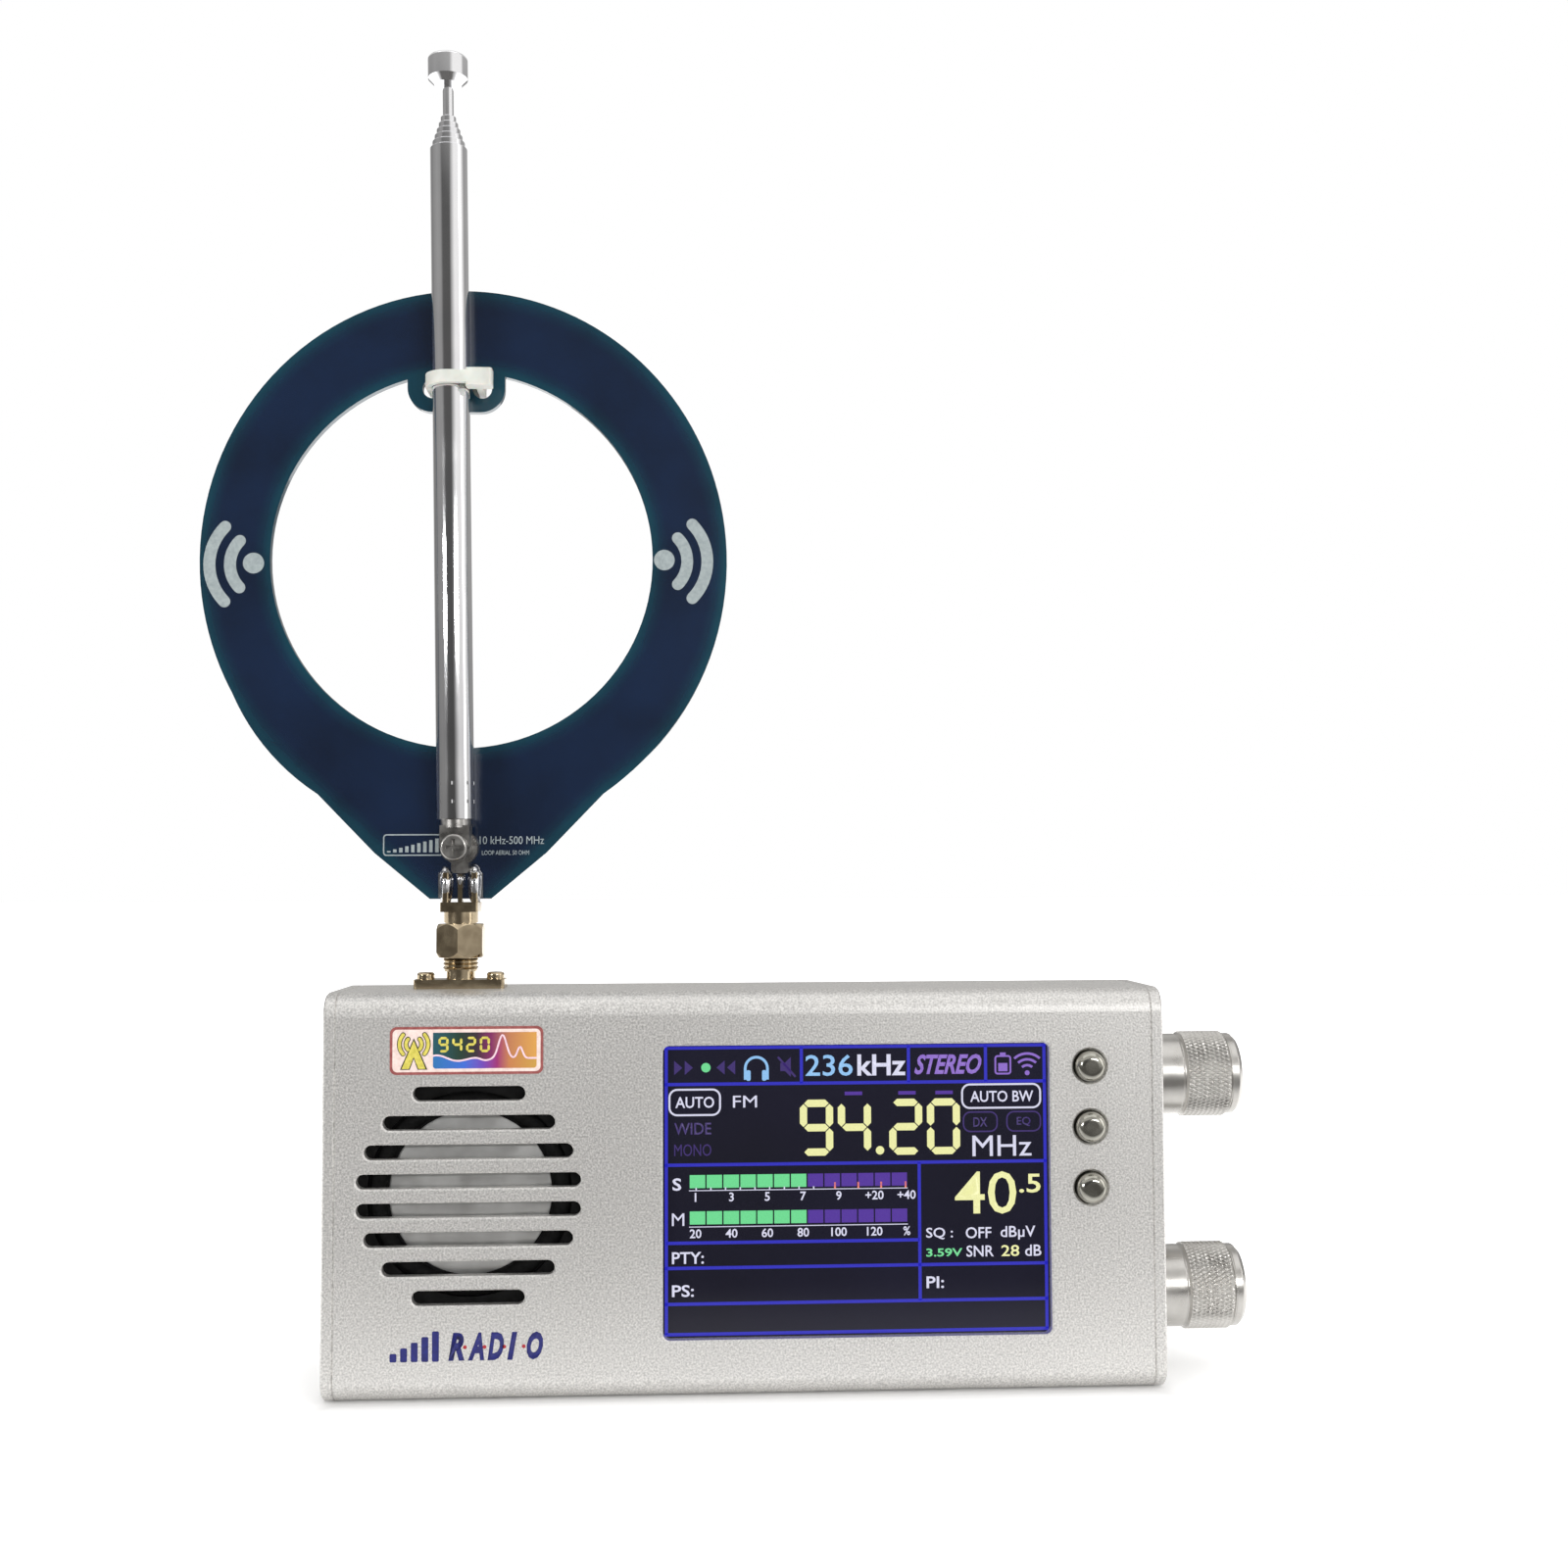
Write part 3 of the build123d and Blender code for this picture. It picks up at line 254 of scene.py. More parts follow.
def object_noise(tree, scale, detail=2.0):
    """Noise laid out in metres on the object, at scale cells per metre."""
    coordinates = tree.nodes.new("ShaderNodeTexCoord")
    noise = tree.nodes.new("ShaderNodeTexNoise")
    noise.inputs["Scale"].default_value = scale
    noise.inputs["Detail"].default_value = detail
    tree.links.new(coordinates.outputs["Object"], noise.inputs["Vector"])
    return noise.outputs["Fac"]


# noise stays mostly between these two values
NOISE_LOW, NOISE_HIGH = 0.3, 0.7


def ramp_between(tree, factor, dark, light, low=NOISE_LOW, high=NOISE_HIGH):
    """Colour from dark to light as the factor goes from low to high."""
    return colour_ramp(tree, factor, ((low, dark), (high, light)))


def range_between(tree, factor, low, high):
    """Number from low to high as noise goes over its usual range."""
    spread = tree.nodes.new("ShaderNodeMapRange")
    spread.inputs["From Min"].default_value = NOISE_LOW
    spread.inputs["From Max"].default_value = NOISE_HIGH
    spread.inputs["To Min"].default_value = low
    spread.inputs["To Max"].default_value = high
    tree.links.new(factor, spread.inputs["Value"])
    return spread.outputs["Result"]


def add_bump(tree, shader, height, distance, strength=1.0):
    bump = tree.nodes.new("ShaderNodeBump")
    bump.inputs["Distance"].default_value = distance
    bump.inputs["Strength"].default_value = strength
    tree.links.new(height, bump.inputs["Height"])
    tree.links.new(bump.outputs[0], shader.inputs["Normal"])


def finish_material(name, dark, light, metallic, rough, grain, bump, coat=0.0, specular=0.5):
    """General finish: colour and roughness vary with a fine grain, with a bump of the same grain."""
    material, shader, tree = new_material(name)
    noise = object_noise(tree, grain)
    tree.links.new(ramp_between(tree, noise, dark, light), shader.inputs["Base Color"])
    shader.inputs["Metallic"].default_value = metallic
    shader.inputs["Specular IOR Level"].default_value = specular
    tree.links.new(range_between(tree, noise, *rough), shader.inputs["Roughness"])
    if bump:
        add_bump(tree, shader, noise, bump)
    if coat:
        shader.inputs["Coat Weight"].default_value = coat
        shader.inputs["Coat Roughness"].default_value = 0.05
    return material


def blasted_aluminium():
    """Bead-blasted, clear anodised: fine sparkle over soft broad clouding."""
    material, shader, tree = new_material("blasted_aluminium")
    fine = object_noise(tree, 3000, 2.0)
    broad = object_noise(tree, 22, 3.0)
    speckle = ramp_between(tree, fine, (0.53, 0.52, 0.505), (0.85, 0.835, 0.81), 0.32, 0.68)
    cloud = ramp_between(tree, broad, (0.95, 0.95, 0.95), (1, 1, 1))
    blend = tree.nodes.new("ShaderNodeMix")
    blend.data_type = "RGBA"
    blend.blend_type = "MULTIPLY"
    blend.inputs["Factor"].default_value = 1.0
    tree.links.new(speckle, blend.inputs["A"])
    tree.links.new(cloud, blend.inputs["B"])
    tree.links.new(blend.outputs["Result"], shader.inputs["Base Color"])
    shader.inputs["Metallic"].default_value = 0.85
    tree.links.new(range_between(tree, fine, 0.40, 0.55), shader.inputs["Roughness"])
    add_bump(tree, shader, fine, 0.04 * MM, 0.8)
    return material


def glowing(name, colour):
    """Lit part of the display."""
    material, shader, tree = new_material(name)
    noise = object_noise(tree, 5000, 1.0)
    dimmer = tuple(0.86 * c for c in colour)
    tree.links.new(ramp_between(tree, noise, dimmer, colour), shader.inputs["Emission Color"])
    shader.inputs["Base Color"].default_value = (0.01, 0.01, 0.01, 1)
    shader.inputs["Emission Strength"].default_value = 1.0
    shader.inputs["Roughness"].default_value = 0.25
    return material


def printed(name, dark, light, rough=0.5):
    """Ink or film on a surface."""
    return finish_material(
        name, dark, light,
        metallic=0.0, rough=(rough, rough + 0.12), grain=1800, bump=0.004 * MM,
    )


def nylon():
    """Milky plastic that lets a little light in."""
    material, shader, tree = new_material("nylon")
    haze = object_noise(tree, 300, 2.0)
    milk = ramp_between(tree, haze, (0.47, 0.48, 0.44), (0.58, 0.59, 0.55))
    tree.links.new(milk, shader.inputs["Base Color"])
    shader.inputs["Roughness"].default_value = 0.38
    shader.inputs["Subsurface Weight"].default_value = 0.25
    shader.inputs["Subsurface Scale"].default_value = 1.0 * MM
    add_bump(tree, shader, haze, 0.01 * MM)
    return material


def display_glass():
    """Dark glass over a backlight that is faintly uneven."""
    material, shader, tree = new_material("display_glass")
    noise = object_noise(tree, 35, 2.0)
    backlight = ramp_between(tree, noise, (0.0012, 0.0010, 0.0060), (0.0030, 0.0025, 0.0140))
    tree.links.new(backlight, shader.inputs["Emission Color"])
    shader.inputs["Emission Strength"].default_value = 1.0
    shader.inputs["Base Color"].default_value = (0.006, 0.006, 0.009, 1)
    tree.links.new(range_between(tree, noise, 0.08, 0.14), shader.inputs["Roughness"])
    shader.inputs["Specular IOR Level"].default_value = 0.4
    return material


def loop_mask():
    """Dark blue solder mask over copper, teal where the laminate is bare along every edge."""
    material, shader, tree = new_material("loop_mask")
    point_foot_half_width, point_height = 5.4 * MM, 29 * MM
    side_slope, side_cosine = 1.06, 0.687
    ramp_units_per_metre = 100.0
    x, _, z = axes_of(tree, "Object")
    dx = maths(tree, "SUBTRACT", x, opening_x)
    dz = maths(tree, "SUBTRACT", z, opening_z)
    from_opening = maths(tree, "SUBTRACT", length_of(tree, dx, dz), OPENING_RADIUS)
    rim_dx = maths(tree, "SUBTRACT", x, rim_x)
    rim_dz = maths(tree, "MULTIPLY", maths(tree, "SUBTRACT", z, rim_z), rim_radius / rim_height)
    from_rim = maths(tree, "SUBTRACT", rim_radius, length_of(tree, rim_dx, rim_dz))
    rise = maths(tree, "SUBTRACT", z, board_low.z)
    widened = maths(tree, "MULTIPLY", rise, side_slope)
    half_width = maths(tree, "ADD", widened, point_foot_half_width)
    from_side = maths(tree, "SUBTRACT", half_width, maths(tree, "ABSOLUTE", dx))
    below_ring = maths(tree, "SUBTRACT", point_height, rise)
    in_point = maths(tree, "MINIMUM", maths(tree, "MULTIPLY", from_side, side_cosine), below_ring)
    inside = maths(tree, "MINIMUM", maths(tree, "MAXIMUM", from_rim, in_point), from_opening)
    scaled = maths(tree, "MULTIPLY", inside, ramp_units_per_metre)
    edge = grey_ramp(tree, scaled, ((0.05, 1.0), (0.16, 0.35), (0.30, 0.0)))
    noise = object_noise(tree, 60, 3.0)
    copper = ramp_between(tree, noise, (0.0018, 0.0070, 0.022), (0.0032, 0.0125, 0.040))
    bare = ramp_between(tree, noise, (0.0018, 0.022, 0.038), (0.003, 0.038, 0.060))
    mix = tree.nodes.new("ShaderNodeMix")
    mix.data_type = "RGBA"
    tree.links.new(edge, mix.inputs["Factor"])
    tree.links.new(copper, mix.inputs["A"])
    tree.links.new(bare, mix.inputs["B"])
    tree.links.new(mix.outputs["Result"], shader.inputs["Base Color"])
    shader.inputs["Roughness"].default_value = 0.22
    shader.inputs["Coat Weight"].default_value = 0.5
    shader.inputs["Coat Roughness"].default_value = 0.05
    add_bump(tree, shader, object_noise(tree, 900, 2.0), 0.003 * MM, 0.5)
    return material


# ---------------------------------------------------------------- mesh helpers
def make_object(name, mesh, material, body):
    piece = bpy.data.objects.new(name, mesh)
    scene.collection.objects.link(piece)
    mesh.materials.clear()
    mesh.materials.append(material)
    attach(piece, body)
    return piece


class Artwork:
    """Flat artwork on a front-facing plane, in millimetres right and down from a corner."""

    def __init__(self, left, top, y):
        self.left, self.top, self.y = left, top, y
        self.mesh = bmesh.new()

    def point(self, x, down):
        return Vector((self.left + x * MM, self.y, self.top - down * MM))

    def outline(self, points):
        corners = [self.mesh.verts.new(self.point(x, down)) for x, down in points]
        self.mesh.faces.new(corners)

    def bar(self, x0, y0, x1, y1):
        self.outline([(x0, y0), (x0, y1), (x1, y1), (x1, y0)])

    def disc(self, x, y, radius, steps=24):
        turn = [2 * pi * k / steps for k in range(steps)]
        self.outline([(x + radius * cos(a), y - radius * sin(a)) for a in turn])

    def arc(self, x, y, radius, width, start, end, steps=16):
        """Curved stroke from start to end degrees, anticlockwise from the right."""
        angles = [radians(start + (end - start) * k / steps) for k in range(steps + 1)]
        wide, narrow = radius + width / 2, radius - width / 2
        outer = [(x + wide * cos(a), y - wide * sin(a)) for a in angles]
        inner = [(x + narrow * cos(a), y - narrow * sin(a)) for a in angles]
        for k in range(steps):
            self.outline([inner[k], outer[k], outer[k + 1], inner[k + 1]])

    def capped_arc(self, x, y, radius, width, start, end, steps=16):
        """Curved stroke with round ends, as one outline."""
        half = width / 2

        def on(centre_x, centre_y, r, angle):
            return centre_x + r * cos(radians(angle)), centre_y - r * sin(radians(angle))

        span = [start + (end - start) * k / steps for k in range(steps + 1)]
        turn = [180 * k / 8 for k in range(1, 8)]
        points = [on(x, y, radius + half, a) for a in span]
        points += [on(*on(x, y, radius, end), half, end + a) for a in turn]
        points += [on(x, y, radius - half, a) for a in reversed(span)]
        points += [on(*on(x, y, radius, start), half, start + 180 + a) for a in turn]
        self.outline(points)

    def frame(self, x0, y0, x1, y1, corner, width):
        """Rounded rectangular outline."""
        self.bar(x0 + corner, y0 - width / 2, x1 - corner, y0 + width / 2)
        self.bar(x0 + corner, y1 - width / 2, x1 - corner, y1 + width / 2)
        self.bar(x0 - width / 2, y0 + corner, x0 + width / 2, y1 - corner)
        self.bar(x1 - width / 2, y0 + corner, x1 + width / 2, y1 - corner)
        self.arc(x1 - corner, y0 + corner, corner, width, 0, 90, 6)
        self.arc(x0 + corner, y0 + corner, corner, width, 90, 180, 6)
        self.arc(x0 + corner, y1 - corner, corner, width, 180, 270, 6)
        self.arc(x1 - corner, y1 - corner, corner, width, 270, 360, 6)

    def rounded(self, x0, y0, x1, y1, corner, steps=6):
        """Filled rounded rectangle."""
        points = []
        corners = ((x1, y0, 0), (x0, y0, 90), (x0, y1, 180), (x1, y1, 270))
        for x, y, start in corners:
            cx = x - corner if x == x1 else x + corner
            cy = y + corner if y == y0 else y - corner
            for k in range(steps + 1):
                a = radians(start + 90 * k / steps)
                points.append((cx + corner * cos(a), cy - corner * sin(a)))
        self.outline(points)

    def text(self, words, x0, y0, x1, y1, weight=0.0, slant=0.0, keep=False):
        """Words scaled to fill the box, or with keep to its height, centred, never wider than it."""
        data = bpy.data.curves.new("words", "FONT")
        data.body = words
        data.offset = weight
        data.shear = slant
        data.resolution_u = 3
        holder = bpy.data.objects.new("words", data)
        scene.collection.objects.link(holder)
        bpy.context.view_layer.update()
        evaluated = holder.evaluated_get(bpy.context.evaluated_depsgraph_get())
        flat = bpy.data.meshes.new_from_object(evaluated)
        xs = [v.co.x for v in flat.vertices]
        ys = [v.co.y for v in flat.vertices]
        across = (x1 - x0) / (max(xs) - min(xs))
        upward = (y1 - y0) / (max(ys) - min(ys))
        if keep and across > upward:
            x0 += (x1 - x0) * (1 - upward / across) / 2
            across = upward
        low_x, high_y = min(xs), max(ys)
        for v in flat.vertices:
            v.co = self.point(x0 + (v.co.x - low_x) * across, y0 + (high_y - v.co.y) * upward)
        self.mesh.from_mesh(flat)
        bpy.data.objects.remove(holder)
        bpy.data.meshes.remove(flat)

    def stroke(self, points, width):
        """Ribbon of constant width through the points."""
        rims = []
        for k, (x, y) in enumerate(points):
            ax, ay = points[max(k - 1, 0)]
            bx, by = points[min(k + 1, len(points) - 1)]
            length = sqrt((bx - ax) ** 2 + (by - ay) ** 2)
            nx, ny = -(by - ay) / length * width / 2, (bx - ax) / length * width / 2
            rims.append(((x + nx, y + ny), (x - nx, y - ny)))
        for (a, b), (c, d) in zip(rims, rims[1:]):
            self.outline([a, b, d, c])

    def finish(self, name, material, body, slot, thickness=0.01):
        """Gives the artwork a little thickness towards the front and makes it a piece."""
        bmesh.ops.remove_doubles(self.mesh, verts=self.mesh.verts, dist=1e-7)
        faces = list(self.mesh.faces)
        raised = bmesh.ops.extrude_face_region(self.mesh, geom=faces)
        tops = [g for g in raised["geom"] if isinstance(g, bmesh.types.BMVert)]
        bmesh.ops.translate(self.mesh, verts=tops, vec=(0, -thickness * MM, 0))
        bmesh.ops.recalc_face_normals(self.mesh, faces=self.mesh.faces)
        mesh = bpy.data.meshes.new(name)
        self.mesh.to_mesh(mesh)
        self.mesh.free()
        return make_object(name, mesh, material, body)


# ---------------------------------------------------------------- display contents
SEGMENTS = {"0": "abcdef", "2": "abged", "4": "fgbc", "9": "abcdfg"}


def screen_art():
    return Artwork(window_left, window_top, screen_y)


def light_up(art, name, paint, colour):
    """Finishes display artwork as a piece that glows in one colour."""
    art.finish(name, glowing(paint, colour), "case", "screen_glass")


def segment_digit(art, digit, x, y, width, height, stroke, gap=0.12):
    """Seven-segment digit made of six-sided bars with small gaps."""
    half = stroke / 2
    middle = y + height / 2
    left, right = x + half, x + width - half
    top, bottom = y + half, y + height - half

    def level(row):
        art.outline(
            [
                (left + gap, row),
                (left + half + gap, row + half),
                (right - half - gap, row + half),
                (right - gap, row),
                (right - half - gap, row - half),
                (left + half + gap, row - half),
            ]
        )

    def upright(column, start, end):
        art.outline(
            [
                (column, start + gap),
                (column - half, start + half + gap),
                (column - half, end - half - gap),
                (column, end - gap),
                (column + half, end - half - gap),
                (column + half, start + half + gap),
            ]
        )

    shapes = {
        "a": lambda: level(top),
        "g": lambda: level(middle),
        "d": lambda: level(bottom),
        "f": lambda: upright(left, top, middle),
        "b": lambda: upright(right, top, middle),
        "e": lambda: upright(left, middle, bottom),
        "c": lambda: upright(right, middle, bottom),
    }
    for letter in SEGMENTS[digit]:
        shapes[letter]()


def add_display():
    width, height = 66.0, 49.2
    line = 0.55

    grid = screen_art()
    edge = 0.55
    for y in (edge, 6.7, 20.3, 37.6, 43.6, height - edge):
        grid.bar(edge - line / 2, y - line / 2, width - edge + line / 2, y + line / 2)
    grid.bar(edge, 33.4 - line / 2, 43.7, 33.4 + line / 2)
    uprights = ((edge, edge, height - edge), (width - edge, edge, height - edge), (43.7, 20.3, 43.6))
    for x, y0, y1 in uprights:
        grid.bar(x - line / 2, y0, x + line / 2, y1)
    for x in (23.6, 42.0, 55.3):
        grid.bar(x - line / 2, edge, x + line / 2, 6.7)
    light_up(grid, "screen_grid", "screen_blue", (0.020, 0.020, 0.52))

    white = screen_art()
    white.text("kHz", 33.2, 1.9, 41.5, 5.5, 0.02)
    white.frame(1.1, 7.6, 9.7, 11.9, 1.3, 0.32)
    white.text("AUTO", 2.1, 8.8, 8.7, 10.7, 0.012)
    white.text("FM", 11.9, 8.7, 16.0, 10.7)
    white.frame(51.2, 7.2, 64.7, 11.2, 1.3, 0.32)
    white.text("AUTO BW", 52.6, 8.3, 63.5, 10.2, 0.012)
    white.text("MHz", 52.9, 15.9, 63.1, 19.4)
    white.text("S", 1.6, 22.5, 3.1, 24.6, 0.02)
    white.text("M", 1.5, 28.4, 3.6, 30.5)
    meter_left, meter_right = 4.4, 41.7
    for row in (24.55, 30.65):
        white.bar(meter_left, row, meter_right, row + 0.14)
    for k in range(9):
        white.bar(5.5 + 2.5 * k, 24.1, 5.72 + 2.5 * k, 24.6)
    scale_marks = (
        (25.0, 26.5, ("1", "3", "5", "7", "9", "+20", "+40")),
        (31.1, 32.6, ("20", "40", "60", "80", "100", "120", "%")),
    )
    for top, bottom, marks in scale_marks:
        for k, mark in enumerate(marks):
            centre = 5.4 + 6.1 * k - (0.6 if k == len(marks) - 1 else 0)
            half = 0.6 + 0.52 * (len(mark) - 1)
            white.text(mark, centre - half + 0.1, top, centre + half + 0.1, bottom, 0.015, keep=True)
    white.text("PTY:", 1.5, 34.9, 6.9, 36.9, 0.015)
    white.text("PS:", 1.5, 40.4, 5.2, 42.4, 0.015)
    white.text("PI:", 44.8, 39.6, 47.8, 41.6, 0.015)
    white.text("SQ :", 44.8, 31.4, 49.4, 33.4, 0.01)
    white.text("OFF", 51.6, 31.4, 56.0, 33.3, 0.01)
    white.text("dBµV", 57.6, 31.3, 63.6, 33.6, 0.01)
    white.text("SNR", 51.7, 34.5, 56.4, 36.4, 0.01)
    white.text("dB", 61.8, 34.5, 64.6, 36.4, 0.01)
    light_up(white, "screen_words", "screen_white", (0.74, 0.74, 0.92))

    yellow = screen_art()
    for digit, x in (("9", 23.3), ("4", 29.8), ("2", 38.6), ("0", 45.1)):
        segment_digit(yellow, digit, x, 9.5, 5.7, 9.5, 1.25)
    yellow.disc(37.0, 18.2, 0.72)
    yellow.text("40", 49.8, 22.0, 60.4, 29.2, 0.004)
    yellow.text(".5", 60.9, 22.5, 64.6, 25.7, 0.012)
    yellow.text("28", 57.7, 34.5, 60.8, 36.4, 0.01)
    light_up(yellow, "screen_numbers", "screen_yellow", (0.90, 0.90, 0.42))

    green = screen_art()
    purple = screen_art()
    segment_pitch, segment_count, lit_count = 2.87, 13, 7
    for top, bottom in ((22.0, 24.2), (28.1, 30.3)):
        for k in range(segment_count):
            start = meter_left + k * segment_pitch
            bar_art = green if k < lit_count else purple
            bar_art.bar(start + 0.12, top, start + segment_pitch - 0.12, bottom)
    green.disc(7.3, 3.9, 0.8)
    green.text("3.59V", 44.8, 34.9, 51.0, 36.3, 0.02)
    light_up(green, "screen_meters", "screen_green", (0.16, 0.74, 0.30))

    for x in (31.0, 40.2, 46.6):
        purple.bar(x, 8.2, x + 3.0, 8.8)
    light_up(purple, "screen_dim_bars", "screen_purple", (0.085, 0.028, 0.34))

    violet = screen_art()
    violet.text("STEREO", 43.0, 2.0, 54.6, 5.4, 0.03, 0.35)
    # cell symbol and radio waves
    violet.frame(57.0, 2.4, 59.6, 5.4, 0.4, 0.3)
    violet.bar(57.8, 1.8, 58.8, 2.3)
    violet.bar(57.5, 3.6, 59.1, 5.0)
    violet.disc(62.5, 5.3, 0.42)
    for radius in (1.3, 2.3, 3.3):
        violet.arc(62.5, 5.3, radius, 0.42, 48, 132, 10)
    light_up(violet, "screen_symbols", "screen_violet", (0.28, 0.15, 0.62))

    blue = screen_art()
    blue.text("236", 24.3, 1.9, 32.4, 5.5, 0.008)
    # headphones: a band and two cups
    blue.arc(15.9, 4.1, 1.9, 0.45, 0, 180, 14)
    for side in (-1, 1):
        blue.bar(15.9 + side * 1.9 - 0.23, 4.1, 15.9 + side * 1.9 + 0.23, 6.0)
        inner_x = 15.9 + side * 1.35
        blue.rounded(inner_x - 0.38, 4.4, inner_x + 0.38, 6.2, 0.3)
    light_up(blue, "screen_count", "screen_sky", (0.28, 0.56, 0.92))

    faint = screen_art()
    for x, direction in ((2.6, 1), (4.4, 1), (9.8, -1), (11.6, -1)):
        tip, tail = (x + 0.7 * direction, 3.9), x - 0.7 * direction
        faint.outline([tip, (tail, 5.1), (tail, 2.7)])
    faint.outline([(20.0, 3.2), (20.0, 4.6), (20.8, 4.6), (21.8, 5.6), (21.8, 2.2), (20.8, 3.2)])
    faint.stroke([(19.6, 2.2), (22.6, 5.6)], 0.35)
    faint.frame(51.4, 11.9, 57.2, 15.2, 1.2, 0.25)
    faint.text("DX", 53.1, 12.8, 55.5, 14.4, 0.01)
    faint.frame(58.9, 11.9, 64.7, 15.2, 1.2, 0.25)
    faint.text("EQ", 60.6, 12.8, 63.0, 14.4, 0.01)
    faint.text("WIDE", 1.9, 13.2, 8.2, 15.2, 0.01)
    faint.text("MONO", 1.9, 16.8, 8.2, 18.8)
    light_up(faint, "screen_faint", "screen_faint", (0.045, 0.022, 0.16))

    red = screen_art()
    for x in (29.1, 33.1, 37.0, 41.2):
        red.bar(x, 23.5, x + 0.3, 24.6)
    light_up(red, "screen_red_ticks", "screen_red", (0.9, 0.25, 0.18))


# ---------------------------------------------------------------- label and print on the case
def add_label():
    """Raised label above the grille: red-brown rim, cream field, coloured spectrum and a trace."""
    length, height = 25.6, 8.0
    left, top = -60.1 * MM, 62.5 * MM
    thickness = 0.12
    film = 0.02
    rim = Artwork(left, top, front_y)
    rim.rounded(0, 0, length, height, 1.1)
    rim_paint = printed("label_rim", (0.22, 0.050, 0.048), (0.31, 0.085, 0.078), 0.35)
    rim.finish("label_base", rim_paint, "case", "black_plastic", thickness)
    field_y = front_y - thickness * MM
    field = Artwork(left, top, field_y)
    field.rounded(0.45, 0.45, length - 0.45, height - 0.45, 0.8)
    field_paint = printed("label_field", (0.62, 0.48, 0.44), (0.74, 0.60, 0.55), 0.35)
    field.finish("label_field", field_paint, "case", "black_plastic", film)
    panel_y = field_y - film * MM
    panel_left, panel_right, panel_top, panel_bottom = 7.2, 24.5, 1.0, 7.0

    def trace_height(share):
        """How far down the label the trace runs, at a share of the panel's width."""
        ripple = 0.62 * sin(2 * pi * share / 0.42 + 0.9) * max(0.0, 1 - 1.6 * share)
        tall = 3.9 * exp(-(((share - 0.67) / 0.055) ** 2))
        small = 1.9 * exp(-(((share - 0.84) / 0.035) ** 2))
        return 5.35 - ripple - tall - small + 0.4 * exp(-(((share - 0.5) / 0.06) ** 2))

    panel = Artwork(left, top, panel_y)
    panel.rounded(panel_left, panel_top, panel_right, panel_bottom, 0.5)
    edges = (left + panel_left * MM, left + panel_right * MM)
    below = spectrum_paint("label_spectrum", edges, BELOW_TRACE)
    panel.finish("label_spectrum", below, "case", "black_plastic", film)
    upper_y = panel_y - film * MM
    upper = Artwork(left, top, upper_y)
    shares = [k / 90 for k in range(91)]
    across = [panel_left + s * (panel_right - panel_left) for s in shares]
    drops = [trace_height(s) for s in shares]
    for (x0, x1), (d0, d1) in zip(zip(across, across[1:]), zip(drops, drops[1:])):
        upper.outline([(x0, panel_top), (x0, d0), (x1, d1), (x1, panel_top)])
    above = spectrum_paint("label_spectrum_above", edges, ABOVE_TRACE)
    upper.finish("label_spectrum_above", above, "case", "black_plastic", film)
    trace_y = upper_y - film * MM
    trace = Artwork(left, top, trace_y)
    trace.stroke(list(zip(across, drops)), 0.3)
    pale = printed("label_trace", (0.62, 0.42, 0.50), (0.74, 0.54, 0.60), 0.35)
    trace.finish("label_trace", pale, "case", "black_plastic", film)
    shadow = Artwork(left, top, trace_y)
    mark = Artwork(left, top, trace_y - film * MM)
    for art, grow in ((shadow, 0.28), (mark, 0.0)):
        art.outline(
            [
                (4.0, 2.3 - 1.5 * grow),
                (2.0 - grow, 7.0 + grow / 2),
                (3.2 + grow / 2, 7.0 + grow / 2),
                (4.0, 5.0 + grow),
                (4.8 - grow / 2, 7.0 + grow / 2),
                (6.0 + grow, 7.0 + grow / 2),
            ]
        )
        for radius in (1.3, 2.4):
            for facing in (0, 180):
                art.capped_arc(4.0, 2.9, radius, 0.55 + grow, facing - 42, facing + 42, 8)
    for digit, x in (("9", 8.1), ("4", 10.4), ("2", 12.7), ("0", 15.0)):
        segment_digit(mark, digit, x, 1.7, 1.7, 2.6, 0.42, 0.03)
    ink = printed("label_dark_ink", (0.02, 0.03, 0.01), (0.05, 0.05, 0.02), 0.35)
    shadow.finish("label_outline", ink, "case", "black_plastic", film)
    gold = printed("label_yellow", (0.46, 0.40, 0.05), (0.60, 0.52, 0.09), 0.35)
    mark.finish("label_marks", gold, "case", "black_plastic", film)


BELOW_TRACE = (
    (0.0, (0.012, 0.13, 0.34)),
    (0.30, (0.03, 0.11, 0.50)),
    (0.48, (0.12, 0.04, 0.36)),
    (0.62, (0.26, 0.015, 0.12)),
    (0.74, (0.44, 0.16, 0.05)),
    (1.0, (0.46, 0.26, 0.04)),
)
ABOVE_TRACE = (
    (0.0, (0.008, 0.075, 0.10)),
    (0.25, (0.012, 0.040, 0.025)),
    (0.42, (0.035, 0.020, 0.03)),
    (0.56, (0.17, 0.012, 0.09)),
    (0.74, (0.40, 0.15, 0.06)),
    (1.0, (0.55, 0.27, 0.05)),
)


def spectrum_paint(name, edges, colours):
    """Colours from left to right between the two edges."""
    material, shader, tree = new_material(name)
    x, _, _ = axes_of(tree, "Object")
    spread = tree.nodes.new("ShaderNodeMapRange")
    spread.inputs["From Min"].default_value, spread.inputs["From Max"].default_value = edges
    tree.links.new(x, spread.inputs["Value"])
    colour = colour_ramp(tree, spread.outputs["Result"], colours)
    tree.links.new(colour, shader.inputs["Base Color"])
    shader.inputs["Roughness"].default_value = 0.35
    add_bump(tree, shader, object_noise(tree, 1800), 0.004 * MM)
    return material


